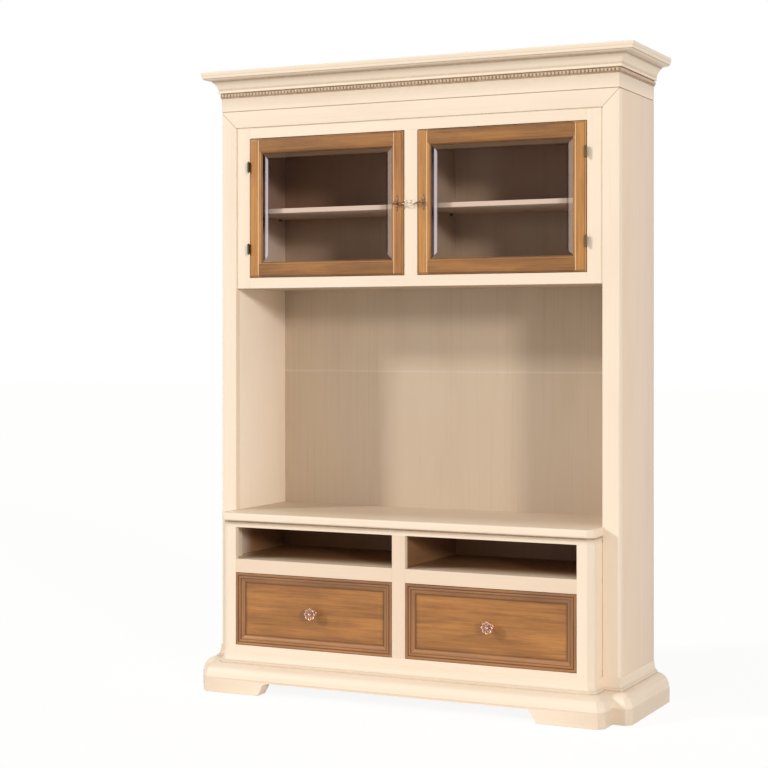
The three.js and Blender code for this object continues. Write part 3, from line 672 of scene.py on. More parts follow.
@dataclass(frozen=True)
class Lacquer(Finish):
    """Cream lacquer, brushed on by hand: faint streaks along the board and a deeper aged glaze in
    the inner corners of the mouldings, which also stands in there for painted shade."""

    grain: Grain = Grain.UPRIGHT
    tone: Tone = Tone.CREAM
    mitred: bool = False
    rough: float = 0.42
    at: Steps = Steps()

    def label(self) -> str:
        """The material's name."""
        cut = "_mitred" if self.mitred else ""
        return f"lacquer_{self.tone.value[0]}_{self.grain.name.lower()}{cut}"

    def inner(self, nodes: Nodes, colour: Value, amount: Value) -> Value:
        """The colour of the faces inside the unit, turned brown as painted shade.

        In the cupboards the painted shade is strongest in the upper half, and a painted pool of light
        lessens it beside the divider of the right one. In the bays it deepens with depth, sooner on
        the divider and later on the left wall. The seam of the niche's back is painted pale as a highlight.

        Args:
            nodes: the material's nodes.
            colour: the lacquer's colour.
            amount: how much of the streaks' colour shows.

        Returns:
            The colour with its painted shade and painted light.
        """
        _, brown, deep = Tone.HOLLOW.value
        at = self.at
        x, y, z = (nodes.along(axis) for axis in "XYZ")
        inside = nodes.span(z, *at.below_top) * nodes.span(y, *at.before_back)
        divider = nodes.span(x, *at.divider_left) * nodes.span(x, *at.divider_right)
        depth = y + divider * 0.09 - nodes.span(x, *at.left_wall) * 0.08
        # Painted shade in the bays, deepening with depth, sooner on the divider and later on the left wall.
        painted_shade = nodes.span(depth, *at.bay_depth)
        if self.tone is not Tone.HOLLOW:
            # A painted pool of light beside the divider of the right-hand one of the cupboards.
            pale = (nodes.span(x, *at.right_cupboard) * nodes.span(x, *at.from_divider)
                    * nodes.span(z, *at.below_head))
            # Painted shade in the cupboards, strongest in their upper half.
            cupboard_shade = (nodes.span(z, *at.above_floor) * nodes.span(z, *at.upper_half, 0.08, 0.74)
                        * (1 - pale * 0.9))
            painted_shade = cupboard_shade + nodes.span(z, *at.below_ledge) * painted_shade
        colour = nodes.mix(painted_shade * inside, colour, nodes.mix(amount, srgb(*brown), srgb(*deep)))
        if self.tone is Tone.NICHE:
            # The back's seam is painted pale as a highlight.
            seam = nodes.span(z, *at.seam_low) * nodes.span(z, *at.seam_high) * inside
            colour = nodes.mix(seam * 0.14, colour, srgb(*Tone.LINING.value[1]))
        return colour

    def build(self, nodes: Nodes) -> None:
        """Streaks and clouds tint the cream, the glaze and painted shade darken it, and brush marks lift
        it.

        The ledge darkens a little towards the back as painted shade, and a thin dark line marks each mitre.

        Args:
            nodes: the material's nodes.
        """
        _, cream, shade = (Tone.CREAM if self.tone is Tone.HOLLOW else self.tone).value
        streak = nodes.noise(nodes.coords(stretched(self.grain, 1.6, 210)), 4, 0.62)
        cloud = nodes.noise(nodes.coords(stretched(self.grain, 2.2, 9), (3, 1, 2)), 3, 0.5)
        amount = nodes.span(streak, 0.5, 0.75) * 0.45 + nodes.span(cloud, 0.45, 0.8) * 0.35
        colour = nodes.mix(amount, srgb(*cream), srgb(*shade))
        if self.tone in (Tone.LINING, Tone.NICHE, Tone.HOLLOW):
            colour = self.inner(nodes, colour, amount)
        if self.tone is Tone.LEDGE:
            # Painted shade towards the ledge's back.
            back = nodes.span(nodes.along("Y"), *self.at.ledge_depth, 0.0, 0.34)
            colour = nodes.mix(back, colour, LEDGE_SHADE)
        # Aged glaze, patchy by noise; it also stands in for painted shade in the hollows, on the foot board
        # and on the ledge.
        wear_and_highlight = nodes.noise(nodes.coords((55, 55, 55), (7, 5, 1)), 3, 0.6)
        colour = nodes.mix(nodes.glaze() * nodes.span(wear_and_highlight, 0.25, 0.65, 0.68, 0.88), colour, OLD_GLAZE_AND_SHADE)
        if self.mitred:
            off = nodes.mitre(Walls.inner_half * MM, Walls.head_base * MM, Walls().rise)
            colour = nodes.mix(nodes.span(off, *self.at.mitre_line, 0.0, 0.6), colour, MITRE_LINE)
        brushed = nodes.noise(nodes.coords(stretched(self.grain, 5, 520), (1, 8, 3)), 3, 0.6)
        nodes.surface(Base_Color=colour, Roughness=nodes.span(streak, 0.3, 0.7, self.rough - 0.05,
                                                              self.rough + 0.09),
                      Normal=nodes.bump(brushed, 0.00012, 0.6))


class Cut(Enum):
    """Where the walnut is used: its name, its light tone and its dark tone."""

    STILE = ("stile", (207, 148, 77), (161, 106, 50))
    RAIL = ("rail", (176, 120, 58), (113, 72, 32))
    PANEL = ("panel", (195, 134, 70), (129, 81, 38))
    MOULDING = ("moulding", (171, 120, 74), (127, 86, 52))
    # A lighter copy of the moulding's walnut: painted light on the bottom moulding's upward slope.
    LOWER = ("lower_moulding", (192, 136, 84), (150, 102, 62))


@dataclass(frozen=True)
class Walnut(Finish):
    """Honey-brown walnut: long soft figure, fine dark pores, stain in the grooves that also stands in for
    painted shade, and pale painted highlights.
    """

    grain: Grain = Grain.ACROSS
    cut: Cut = Cut.STILE

    def label(self) -> str:
        """The material's name."""
        return f"walnut_{self.cut.value[0]}_{self.grain.name.lower()}"

    def build(self, nodes: Nodes) -> None:
        """Stretched noise makes the figure, a finer and longer one the pores.

        Args:
            nodes: the material's nodes.
        """
        _, light, dark = self.cut.value
        bent = nodes.noise(nodes.coords(stretched(self.grain, 1.8, 7), (2, 4, 6)), 2, 0.5)
        place = nodes.node("ShaderNodeVectorMath", {"operation": "MULTIPLY_ADD"},
                           {0: bent, 1: (1.2, 1.2, 1.2), 2: nodes.coords(stretched(self.grain, 3.4, 92))})
        figure = nodes.noise(place, 6, 0.7, 0.15)
        broad = nodes.noise(nodes.coords(stretched(self.grain, 3.2, 16), (9, 1, 4)), 3, 0.55)
        fibre = nodes.noise(nodes.coords(stretched(self.grain, 9, 520), (3, 7, 1)), 2, 0.5)
        tone = nodes.mix(nodes.span(figure, 0.32, 0.68) * 0.4 + nodes.span(broad, 0.36, 0.66) * 0.38
                         + nodes.span(fibre, 0.3, 0.7) * 0.22, srgb(*dark), srgb(*light))
        pores = nodes.noise(nodes.coords(stretched(self.grain, 26, 1300), (5, 2, 9)), 2, 0.5)
        pore = nodes.span(pores, 0.58, 0.72)
        colour = nodes.mix(pore * 0.35, tone, srgb(*[part * 0.55 for part in dark]))
        stain_shade_highlight = nodes.glaze()
        # Glaze above 0 paints stain, which also stands in for painted shade in the grooves and at the
        # drawer panels' border.
        colour = nodes.mix(nodes.span(stain_shade_highlight, 0.0, 1.0) * 0.85, colour, WALNUT_STAIN_AND_SHADE)
        # Glaze below 0 paints a pale highlight on the doors' arrises.
        colour = nodes.mix(nodes.span(stain_shade_highlight, 0.0, -1.0), colour, WALNUT_HIGHLIGHT)
        nodes.surface(Base_Color=colour, Roughness=nodes.span(figure, 0.3, 0.7, 0.46, 0.38) + pore * 0.15,
                      Coat_Weight=0.06, Coat_Roughness=0.3,
                      Normal=nodes.bump(1 - pore, 0.00012, 0.5))


@dataclass(frozen=True)
class PlainWood(Finish):
    """Pale unvarnished wood inside the drawers."""

    grain: Grain = Grain.ACROSS

    def label(self) -> str:
        """The material's name."""
        return f"plain_wood_{self.grain.name.lower()}"

    def build(self, nodes: Nodes) -> None:
        """A pale figure with soft growth lines, which runs to the back on the two sides.

        Args:
            nodes: the material's nodes.
        """
        across = nodes.noise(nodes.coords(stretched(self.grain, 2, 60)), 4, 0.6, 0.5)
        deep = nodes.noise(nodes.coords(stretched(Grain.DEEP, 2, 60), (3, 1, 2)), 4, 0.6, 0.5)
        side = nodes.span(abs(nodes.along("X", "Normal")), 0.4, 0.6)
        figure = across * (1 - side) + deep * side
        colour = nodes.mix(nodes.span(figure, 0.35, 0.7), srgb(192, 158, 112), srgb(216, 188, 146))
        nodes.surface(Base_Color=colour, Roughness=nodes.span(figure, 0.3, 0.7, 0.62, 0.72),
                      Normal=nodes.bump(figure, 0.0002, 0.4))


class Ground(Enum):
    """How a part of a pane is ground: its name, its least gloss, how far that grows at the rim, the
    pale and the dark tint of its painted reflection, and where that is pale, from 0 at the rim to 1 at the
    flat."""

    FLAT = ("flat", 0.0, 0.05, (226, 218, 224), (226, 218, 224), None)
    LEFT = ("left_bevel", 0.56, 1.2, (230, 218, 222), (38, 34, 58), (0.56, 0.95))
    RIGHT = ("right_bevel", 0.32, 0.8, (232, 204, 184), (48, 36, 42), (0.0, 0.76))
    TOP = ("top_bevel", 0.1, 0.3, (222, 184, 150), (44, 30, 24), (0.0, 0.74))


@dataclass(frozen=True)
class Pane(Finish):
    """Clear glass: what lies behind shows through, and the gloss grows towards grazing angles."""

    ground: Ground = Ground.FLAT

    def label(self) -> str:
        """The material's name."""
        return f"glass_{self.ground.value[0]}"

    def build(self, nodes: Nodes) -> None:
        """A mix of clear and glossy, shared out by Fresnel; a bevel's reflection is painted pale in part,
        else dark.

        Args:
            nodes: the material's nodes.
        """
        _, least, growth, pale, dark, bright = self.ground.value
        clear = nodes.node("ShaderNodeBsdfTransparent", {}, {"Color": (0.95, 0.93, 0.93, 1)})
        wave = nodes.noise(nodes.coords((14, 14, 14)), 2, 0.5)
        colour = srgb(*pale)
        # A bevel's reflection is painted: pale in a band, dark elsewhere.
        if bright:
            cut = nodes.glaze()
            painted_reflection = (nodes.span(cut, bright[0] - 0.03, bright[0] + 0.03)
                     * nodes.span(cut, bright[1] + 0.03, bright[1] - 0.03))
            colour = nodes.mix(painted_reflection, srgb(*dark), colour)
        gloss = nodes.node("ShaderNodeBsdfPrincipled", {}, {
            "Base Color": colour, "Roughness": nodes.span(wave, 0.3, 0.7, 0.03, 0.09),
            "Metallic": 1.0, "Normal": nodes.bump(wave, 0.0008, 0.4)})
        rim = nodes.node("ShaderNodeFresnel", {}, {"IOR": 1.5})
        nodes.output(nodes.blend(rim * growth + least, clear, gloss))


@dataclass(frozen=True)
class Metal(Finish):
    """Aged cast metal, dark in its hollows and polished bright on its high places; the lever's scroll is
    painted bright as a highlight.
    """

    name: str
    bright: Colour
    dark: Colour
    rough: float = 0.34

    def label(self) -> str:
        """The material's name."""
        return f"metal_{self.name}"

    def build(self, nodes: Nodes) -> None:
        """Noise and the glaze choose between the bright and the dark tone.

        Args:
            nodes: the material's nodes.
        """
        spots = nodes.noise(nodes.coords((420, 420, 420)), 4, 0.6)
        amount = nodes.span(spots, 0.45, 0.7) * 0.45 + nodes.glaze() * 0.8
        amount = nodes.span(amount, 0.0, 1.0)
        colour = nodes.mix(amount, srgb(*self.bright), srgb(*self.dark))
        nodes.surface(Base_Color=colour, Metallic=0.92,
                      Roughness=nodes.span(amount, 0, 1, self.rough, self.rough + 0.25),
                      Normal=nodes.bump(spots, 0.0002, 0.5))


BRONZE = Metal("aged_bronze", (206, 188, 166), (116, 78, 54))
HINGE_BRASS = Metal("dark_hinge", (104, 94, 68), (38, 32, 22), 0.42)
HINGE_PALE = Metal("pale_hinge", (138, 116, 90), (66, 50, 36), 0.5)
SILVER = Metal("antique_silver", (206, 166, 148), (66, 36, 24), 0.34)


def added(name: str, data: bpy.types.ID) -> bpy.types.Object:
    """Puts a new object into the scene.

    Args:
        name: its name.
        data: its mesh, lamp or camera.

    Returns:
        The object.
    """
    made = bpy.data.objects.new(name, data)
    bpy.context.scene.collection.objects.link(made)
    return made


def meshed(name: str, shape: Surface) -> bpy.types.Mesh:
    """Turns a surface into a new mesh, in metres of the row frame.

    Args:
        name: the mesh's name.
        shape: the surface, in millimetres.

    Returns:
        The mesh.
    """
    mesh = bpy.data.meshes.new(name)
    mesh.from_pydata(metres(shape.points), [], shape.faces)
    return mesh


def smoothed(mesh: bpy.types.Mesh, sharp: float) -> None:
    """Smooths a mesh, but keeps edges crisp that turn by more degrees than the given ones."""
    mesh.polygons.foreach_set("use_smooth", np.ones(len(mesh.polygons), bool))
    mesh.set_sharp_from_angle(angle=math.radians(sharp))


class Workshop:
    """Puts surfaces into the scene as pieces."""

    def place(self, name: str, shape: Surface, body: str, slot: str, finish: Finish,
              nodes: Sequence[str] = (), sharp: float = SHARP) -> bpy.types.Object:
        """Makes a piece.

        Args:
            name: the piece's name.
            shape: its surface, in millimetres.
            body: the body that it rides on.
            slot: the record's material slot; not used.
            finish: its finish.
            nodes: the CAD nodes that it stands for.
            sharp: edges that turn by more degrees than this stay crisp.

        Returns:
            The piece's object.
        """
        mesh = meshed(name, shape)
        if shape.glaze is not None:
            layer = mesh.attributes.new("glaze", "FLOAT", "POINT")
            layer.data.foreach_set("value", shape.glaze.astype(np.float32))
        smoothed(mesh, sharp)
        mesh.materials.append(finish.made())
        mesh.update()
        piece = added(name, mesh)
        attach(piece, body)
        if nodes:
            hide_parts(*nodes)
        log.info("%s: %d points on %s", name, len(mesh.vertices), body)
        return piece

    def fit(self, node: str, word: str, shape: Surface, finish: Finish,
            slot: str = "lacquer") -> bpy.types.Object:
        """Stands a finer piece in for one node of the carcass.

        Args:
            node: the CAD node.
            word: what the piece's name adds to the node's.
            shape: the piece's surface.
            finish: its finish.
            slot: the record's material slot.

        Returns:
            The piece's object.
        """
        return self.place(f"{node}_{word}", shape, CARCASS, slot, finish, [node])

    def ease(self, node: str, finish: Finish, radius: float = 1.0, slot: str = "lacquer") -> None:
        """Stands an eased board in for a plain board of the carcass."""
        low, high = (np.array(corner) / MM - POST_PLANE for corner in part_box(node))
        self.fit(node, "eased", board(low, high, radius), finish, slot)

    def dress(self, node: str, finish: Finish) -> None:
        """Gives a CAD node that stays its finish.

        Args:
            node: the CAD node.
            finish: its finish.
        """
        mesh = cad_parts[node].data
        mesh.materials.clear()
        mesh.materials.append(finish.made())
        log.info("%s: kept, %s", node, finish.label())


SHOP = Workshop()


# Sub-assemblies


@dataclass
class Walls:
    """Side panels, linings, posts and the surround's head."""

    half_width: float = HALF_WIDTH
    inner_half: float = INNER_HALF
    post_thickness: float = 28.0
    post_round: float = 8.0
    inner_share: float = 0.22
    head_base: float = 2080.0
    top: float = CARCASS_TOP
    mitre_gap: float = GAP

    def build(self) -> None:
        """Makes both sides and the head."""
        for side in Side:
            SHOP.ease(f"side_panel_{side.word}", Lacquer(Grain.UPRIGHT, Tone.WARM))
            SHOP.ease(f"lining_{side.word}", Lacquer(Grain.UPRIGHT, Tone.LINING), slot="lacquer_inside")
            self.post(side)
        self.head()

    @property
    def rise(self) -> float:
        """How far the mitre climbs for each millimetre outwards."""
        return (self.top - self.head_base) / (self.half_width - self.inner_half)

    def edge(self) -> tuple[Array, Array, Array, Array]:
        """The rounded front edge: a quarter circle, then straight back.

        Returns:
            The depth of each point, its inset, and its place in x on the inner and the outer edge.
        """
        r = self.post_round
        y, inset = path(quarter((0, r), (r, 0), Early.SECOND), (self.post_thickness, 0)).T
        return y, inset, self.inner_half + inset * self.inner_share, self.half_width - inset

    def post(self, side: Side) -> None:
        """A post: its front edges rounded, its top cut along the mitre.

        Args:
            side: the side that it stands on.
        """
        y, _, left, right = self.edge()
        foot, top = np.zeros_like(y), self.head_base - self.mitre_gap
        corners = np.stack([
            np.stack([left, y, foot], 1), np.stack([right, y, foot], 1),
            np.stack([right, y, top + (right - self.inner_half) * self.rise], 1),
            np.stack([left, y, top + (left - self.inner_half) * self.rise], 1)], 1)
        SHOP.fit(f"post_{side.word}", "rounded", loft(corners).on(side),
                 Lacquer(Grain.UPRIGHT, mitred=True))

    def head(self) -> None:
        """The mitred rail above the doors, with a rounded underside."""
        y, inset, left, right = self.edge()
        low = self.head_base + inset * self.inner_share * self.rise
        corners = np.stack([np.stack([left, y, low], 1),
                            np.stack([right, y, self.top - inset * self.rise], 1),
                            np.stack([right, y, np.full_like(y, self.top)], 1)], 1)
        both = np.concatenate([corners, corners[:, ::-1] * np.array([-1.0, 1.0, 1.0])], axis=1)
        SHOP.fit("surround_rail", "rounded", loft(both), Lacquer(Grain.ACROSS, mitred=True))


@dataclass
class Cornice:
    """Frieze and crown in three mitred lengths, the dentils and the top panel."""

    half_width: float = HALF_WIDTH
    depth: float = DEPTH
    base: float = CARCASS_TOP
    frieze: float = 52.0
    thickness: float = BOARD
    side_overhang: float = 64.0
    front_share: float = 47.0 / 64.0
    pitch: float = 13.6
    tooth_share: float = 0.6
    ease_by: float = 0.6
    gap: float = GAP
    cove: tuple[float, float] = (33.0, 59.5)
    nose: float = 84.0
    band: tuple[float, float] = (1.0, 19.0)
    teeth: tuple[float, float] = (6.0, 16.0)
    tooth_reach: float = 8.0

    def levels(self) -> Array:
        """The profile: groove, frieze, dentil band, bead, fillet, cove, fillet, ovolo and nose.

        Returns:
            Pairs of height and overhang.
        """
        z = self.frieze
        full = self.side_overhang
        rows = path((0, -3), (2.4, -3), (3, -2.4), (3, -0.6), (3.6, 0), (z + 20, 0), (z + 20, 8.6),
                    quarter((z + 20, 9), (z + 24, 11.4), Early.SECOND),
                    quarter((z + 24, 11.4), (z + 28, 9), Early.FIRST), (z + 28, 10), (z + 32, 10),
                    (z + 39, 12.2), (z + 46, 15.6), (z + 52, 19.4), (z + 57, 23.6), (z + 60, 27),
                    (z + 61, 28.6), (z + 63, 28.6), quarter((z + 63, 29), (z + 68, 43), Early.FIRST, 8),
                    quarter((z + 68, 43), (z + 73, 57), Early.SECOND, 8), (z + 73, 58.2),
                    quarter((z + 73.4, 58.6), (z + 84, full - 1.6), Early.SECOND, 8),
                    (z + 85.2, full - 1.6), (z + 85.6, full - 0.8), (z + 94, full),
                    quarter((z + 94, full), (z + 98, 61), Early.FIRST))
        rows[:, 0] += self.base
        return rows

    def toned(self, shape: Surface) -> Surface:
        """Less glaze and painted shade in the wide cove than in the narrow hollows, and a little, evenly,
        on the nose.

        Args:
            shape: a length of the cornice.

        Returns:
            The same length with its glaze changed.
        """
        z = shape.points[:, 2] - self.base - self.frieze
        cove = (z > self.cove[0]) & (z < self.cove[1])
        return shape.glazed(np.where(cove, shape.glaze * 0.25, np.where(z > self.nose, 0.05, shape.glaze)))

    def build(self) -> None:
        """Makes the three lengths, the dentils and the top panel."""
        levels = self.levels()
        inner = self.half_width - self.thickness / self.front_share
        half = np.array([[inner - self.gap, self.thickness], [self.half_width - self.gap, 0]])
        slope = np.array([[0, 0], [1, -self.front_share]])
        shape = self.toned(moulding(levels, mirrored(half), mirrored(slope)))
        SHOP.fit("cornice_front", "fine", shape, Lacquer(Grain.ACROSS))
        base = np.array([[inner, self.thickness], [self.half_width, 0], [self.half_width, self.depth],
                         [inner, self.depth]])
        slope = np.array([[0, 0], [1, -self.front_share], [1, 0], [0, 0]])
        shape = self.toned(moulding(levels, base, slope))
        for side in Side:
            SHOP.fit(f"cornice_{side.word}", "fine", shape.on(side), Lacquer(Grain.DEEP))
        self.dentils()
        SHOP.ease("top_panel", Lacquer(Grain.ACROSS, Tone.HOLLOW), slot="lacquer_inside")

    def dentils(self) -> None:
        """The dentil band: a strip darkened all over, round three sides, with a row of eased blocks
        darkened a little less.
        """
        low, z0, z1, high = (self.base + self.frieze + level for level in
                             (self.band[0], self.teeth[0], self.teeth[1], self.band[1]))
        w, d, f = self.half_width, self.depth, self.front_share
        half = np.array([[w, 0.0], [w, d], [w, d], [w, 0.0]])
        slope = np.array([[0, 0], [0, 0], [1, 0], [1, -f]], float)
        levels = path((low, 3 - self.ease_by), (low + self.ease_by, 3), (high, 3))
        strip = moulding(levels, mirrored(half[::-1]), mirrored(slope[::-1])).glazed(1.0)
        out = self.tooth_reach
        blocks = [board((a - w, -out * f, z0), (b - w, 1, z1)).glazed(0.65)
                  for a, b in self.teeth_along(2 * w)]
        for side in (Side.RIGHT, Side.LEFT):
            blocks += [board((w - 1, a, z0), (w + out, b, z1)).on(side).glazed(0.6)
                       for a, b in self.teeth_along(d)]
        SHOP.fit("dentil_strip", "fine", strip.joined(*blocks), Lacquer(Grain.ACROSS))

    def teeth_along(self, length: float) -> list[tuple[float, float]]:
        """Where the teeth stand along a length, which holds a whole number of them.

        Args:
            length: the length that is shared out.

        Returns:
            Where each tooth starts and ends.
        """
        count = round(length / self.pitch)
        pitch = length / count
        side = pitch * (1 - self.tooth_share) / 2
        return [(start + side, start + pitch - side) for start in np.arange(count) * pitch]


@dataclass
class Cabinet:
    """The upper cabinet's boards and face frame, and the back."""

    shelf_ease: float = 2.0
    frame_ease: float = 0.7
    back_ease: float = 1.2

    def build(self) -> None:
        """Eases every board."""
        inside = "lacquer_inside"
        SHOP.ease("cabinet_floor", Lacquer(Grain.ACROSS, Tone.NICHE))
        SHOP.ease("cabinet_divider", Lacquer(Grain.UPRIGHT, Tone.NICHE), slot=inside)
        for side in Side:
            SHOP.ease(f"cabinet_shelf_{side.word}", Lacquer(Grain.ACROSS, Tone.SHELF), self.shelf_ease,
                      inside)
            SHOP.ease(f"face_stile_{side.word}", Lacquer(Grain.UPRIGHT), self.frame_ease)
        for node, grain in (("face_rail_top", Grain.ACROSS), ("face_rail_bottom", Grain.ACROSS),
                            ("face_mullion", Grain.UPRIGHT)):
            SHOP.ease(node, Lacquer(grain), self.frame_ease)
        for node in ("upper_back", "lower_back"):
            SHOP.ease(node, Lacquer(Grain.UPRIGHT, Tone.NICHE), self.back_ease, inside)


@dataclass
class ShelfPins:
    """Four small studs that carry a shelf, two at each end."""

    side: Side
    ends: tuple[float, float] = (10.9, 718.1)
    top: float = 1760.4
    places: tuple[float, float] = (96.0, 330.0)
    radius: float = 4.4
    reach: float = 11.0

    def build(self) -> None:
        """Makes the studs, each with a rounded end, in one piece."""
        r = self.radius
        stud = turned(path((r, 0), (r, self.reach - 1), (r - 1, self.reach), (0.4, self.reach + 0.2)), 16)
        studs = []
        for x, turn in zip(self.ends, (90.0, -90.0)):
            for y in self.places:
                studs.append(stud.turned(2, turn).moved(x, y, self.top - r))
        SHOP.place(f"cabinet_shelf_{self.side.word}_pins", studs[0].joined(*studs[1:]).on(self.side),
                   CARCASS, "aged_metal", HINGE_BRASS, sharp=SHARP_METAL)


@dataclass
class Base:
    """The base section: stiles, rails, mullion, decks and the ledge."""

    inner_half: float = INNER_HALF
    front: float = BASE_FRONT
    chamfer: float = CHAMFER
    opening: tuple[float, float] = (25.5, 662.0)
    frame_thickness: float = BOARD
    return_inner: float = 696.0
    bay_top: float = 601.0
    ledge: tuple[float, float] = (625.0, 654.0)
    ledge_overhang: float = 16.0
    side_share: float = 0.3
    back: float = 380.0
    tongue: float = 7.0
    gap: float = GAP
    mid_rail: tuple[float, float] = (435.0, 484.0)
    round_by: float = 7.0
    frame_ease: float = 0.8

    def section(self, side: float, front: float) -> tuple[Array, Array]:
        """The right half of the section's front outline and its slope for each mm of overhang.

        Args:
            side: how fast the side moves out.
            front: how fast the front moves out.

        Returns:
            Base pairs and slope pairs.
        """
        base = np.array([[self.inner_half, -self.gap], [self.inner_half, self.front + self.chamfer],
                         [self.inner_half - self.chamfer, self.front]])
        return base, np.array([[side, 0], [side, -front], [side, -front]])

    def build(self) -> None:
        """Makes the frame, the decks and the ledge."""
        back = self.front + self.frame_thickness
        front, _ = self.section(0, 0)
        outline = np.concatenate([front, [[self.opening[1], self.front], [self.opening[1], back],
                                          [self.return_inner, back], [self.return_inner, self.tongue],
                                          [self.inner_half - self.gap, self.tongue],
                                          [self.inner_half - self.gap, -self.gap]]])
        shape = moulding(np.array([[0.0, 0], [self.bay_top, 0]]), outline, np.zeros_like(outline))
        for side in Side:
            SHOP.fit(f"base_stile_{side.word}", "fine", shape.on(side), Lacquer(Grain.UPRIGHT))
        self.rails(back)
        self.top()
        for node in ("bay_deck", "base_floor"):
            SHOP.dress(node, Lacquer(Grain.ACROSS, Tone.HOLLOW))
        SHOP.dress("base_divider", Lacquer(Grain.DEEP, Tone.HOLLOW))

    def rails(self, back: float) -> None:
        """The mid rail in two lengths, the mullion between them, and the bottom rail.

        Args:
            back: the back face of the frame.
        """
        near, far = self.opening
        low, high = self.mid_rail
        halves = [board((x0, self.front, low), (x1, back, high), self.frame_ease)
                  for x0, x1 in ((-far, -near), (near, far))]
        SHOP.fit("base_rail_mid", "eased", halves[0].joined(halves[1]), Lacquer(Grain.ACROSS, Tone.WARM))
        SHOP.ease("base_mullion", Lacquer(Grain.UPRIGHT, Tone.WARM), self.frame_ease)
        SHOP.ease("base_rail_bottom", Lacquer(Grain.ACROSS), self.frame_ease)

    def full_width(self, levels: Array, inner: Sequence[Sequence[float]]) -> Surface:
        """A moulding round the whole section, from the inner points, which stay where they are.

        Args:
            levels: pairs of height and overhang.
            inner: where the right half starts, as pairs.

        Returns:
            The moulding, both halves in one.
        """
        base, slope = self.section(self.side_share, 1)
        base = np.concatenate([inner, base])
        slope = np.concatenate([np.zeros_like(inner), slope])
        return moulding(levels, mirrored(base), mirrored(slope))

    def top(self) -> None:
        """The top rail with its cove, and the ledge with its rounded edge."""
        z0, z1 = self.ledge
        r = self.round_by
        levels = path((self.bay_top, 0), quarter((self.bay_top + r, 0), (z0 - r, r), Early.FIRST),
                      (z0 - 6.4, 7.6), (z0 - 6, 7.6), (z0 - 5.7, 1), (z0, 1))
        rail = self.full_width(levels, [[self.return_inner, self.front + self.frame_thickness],
                                        [self.return_inner, -self.gap]])
        SHOP.fit("base_rail_top", "fine", rail, Lacquer(Grain.ACROSS))
        full = self.ledge_overhang
        levels = path(quarter((z0, full - r), (z0 + r, full), Early.SECOND),
                      quarter((z1 - r, full), (z1, full - r), Early.FIRST))
        ledge = self.full_width(levels, [[self.inner_half, self.back], [self.inner_half, -self.gap]])
        # The ledge's top gets only a faint even painted shade; its rounded edge keeps half its glaze.
        ledge = ledge.glazed(np.where(ledge.points[:, 2] > z1 - 0.1, 0.04, ledge.glaze * 0.5))
        SHOP.fit("ledge_board", "fine", ledge, Lacquer(Grain.ACROSS, Tone.LEDGE))


@dataclass
class Plinth:
    """The moulded plinth: a front with two bracket feet and a length round each post and side."""

    inner_half: float = INNER_HALF
    half_width: float = HALF_WIDTH
    front: float = BASE_FRONT
    depth: float = DEPTH
    chamfer: float = CHAMFER
    overhang: float = 58.0
    toe: float = 538.0
    heel: float = 496.0
    lift: float = 46.0
    slant: tuple[float, float] = (15.0, 27.0)
    gap: float = GAP
    foot_board: float = 55.0
    quirk_top: float = 70.0
    overrun: float = 9.0

    def levels(self) -> Array:
        """The profile: foot board, quirk, ovolo, fillet and a cove up to the carcass.

        Returns:
            Pairs of height and overhang.
        """
        full = self.overhang
        return path((0, full - 1.5), (1.5, full), (53.4, full), (54, full - 0.6), (55.4, full - 1.9),
                    quarter((56, full - 2), (104, 14), Early.FIRST, 18), (110, 14),
                    quarter((112, 12), (147, 1.5), Early.SECOND, 14))

    def build(self) -> None:
        """Makes the front and both sides."""
        levels = self.levels()
        self.front_length(levels)
        turn = self.chamfer / self.overhang
        base = np.array([[self.inner_half, 0], [self.inner_half, 0], [self.half_width, 0],
                         [self.half_width, 0], [self.half_width, self.depth],
                         [self.half_width, self.depth], [self.half_width, 0]])
        slope = np.array([[0, 0], [0, -1], [1 - turn, -1], [1, turn - 1], [1, 0], [0, 0], [0, 0]])
        shape = self.softened(moulding(levels, base, slope))
        for side in Side:
            SHOP.fit(f"plinth_{side.word}", "fine", shape.on(side), Lacquer(Grain.DEEP))

    def softened(self, shape: Surface) -> Surface:
        """Less glaze and painted shade, none just above the quirk, and an even painted shade on the foot
        board.

        Args:
            shape: a length of the plinth.

        Returns:
            The same length with its glaze changed.
        """
        z = shape.points[:, 2]
        above = np.where(z < self.quirk_top, 0.0, shape.glaze * 0.4)
        return shape.glazed(np.where(z < self.foot_board, 0.22, above))

    def front_length(self, levels: Array) -> None:
        """The front: lofted in full, then the apron's opening is cut away below.

        Args:
            levels: the profile, as pairs of height and overhang.
        """
        c, g = self.chamfer, self.gap
        inner = np.array([[self.inner_half - c, self.front], [self.inner_half, self.front + c],
                          [self.inner_half, -g]])
        base = mirrored(np.concatenate([inner, inner[::-1]]))
        slope = mirrored(np.array([[0, 0], [0, 0], [0, -1], [1, -1], [1, -1], [1, -1]], float))
        shape = self.softened(moulding(levels, base, slope))
        run, rise = self.slant
        half = path((self.toe, -5), (self.toe, 0), quarter((self.toe - run, rise), (self.heel, self.lift),
                                                          Early.SECOND, 8))
        reach = np.array([[self.front - self.overhang - self.overrun, 0.0],
                          [self.front + self.overrun, 0.0]])
        cutter = moulding(reach, mirrored(half), np.zeros((2 * len(half), 2)), False)
        piece = SHOP.fit("plinth_front", "fine", shape, Lacquer(Grain.ACROSS))
        helper = added("apron_cutter", meshed("apron_cutter", cutter))
        cut = piece.modifiers.new("apron", "BOOLEAN")
        cut.operation, cut.solver, cut.object = "DIFFERENCE", "EXACT", helper
        bpy.context.view_layer.update()
        made = bpy.data.meshes.new_from_object(piece.evaluated_get(bpy.context.evaluated_depsgraph_get()))
        piece.modifiers.clear()
        piece.data = made
        smoothed(made, SHARP)
        bpy.data.objects.remove(helper)


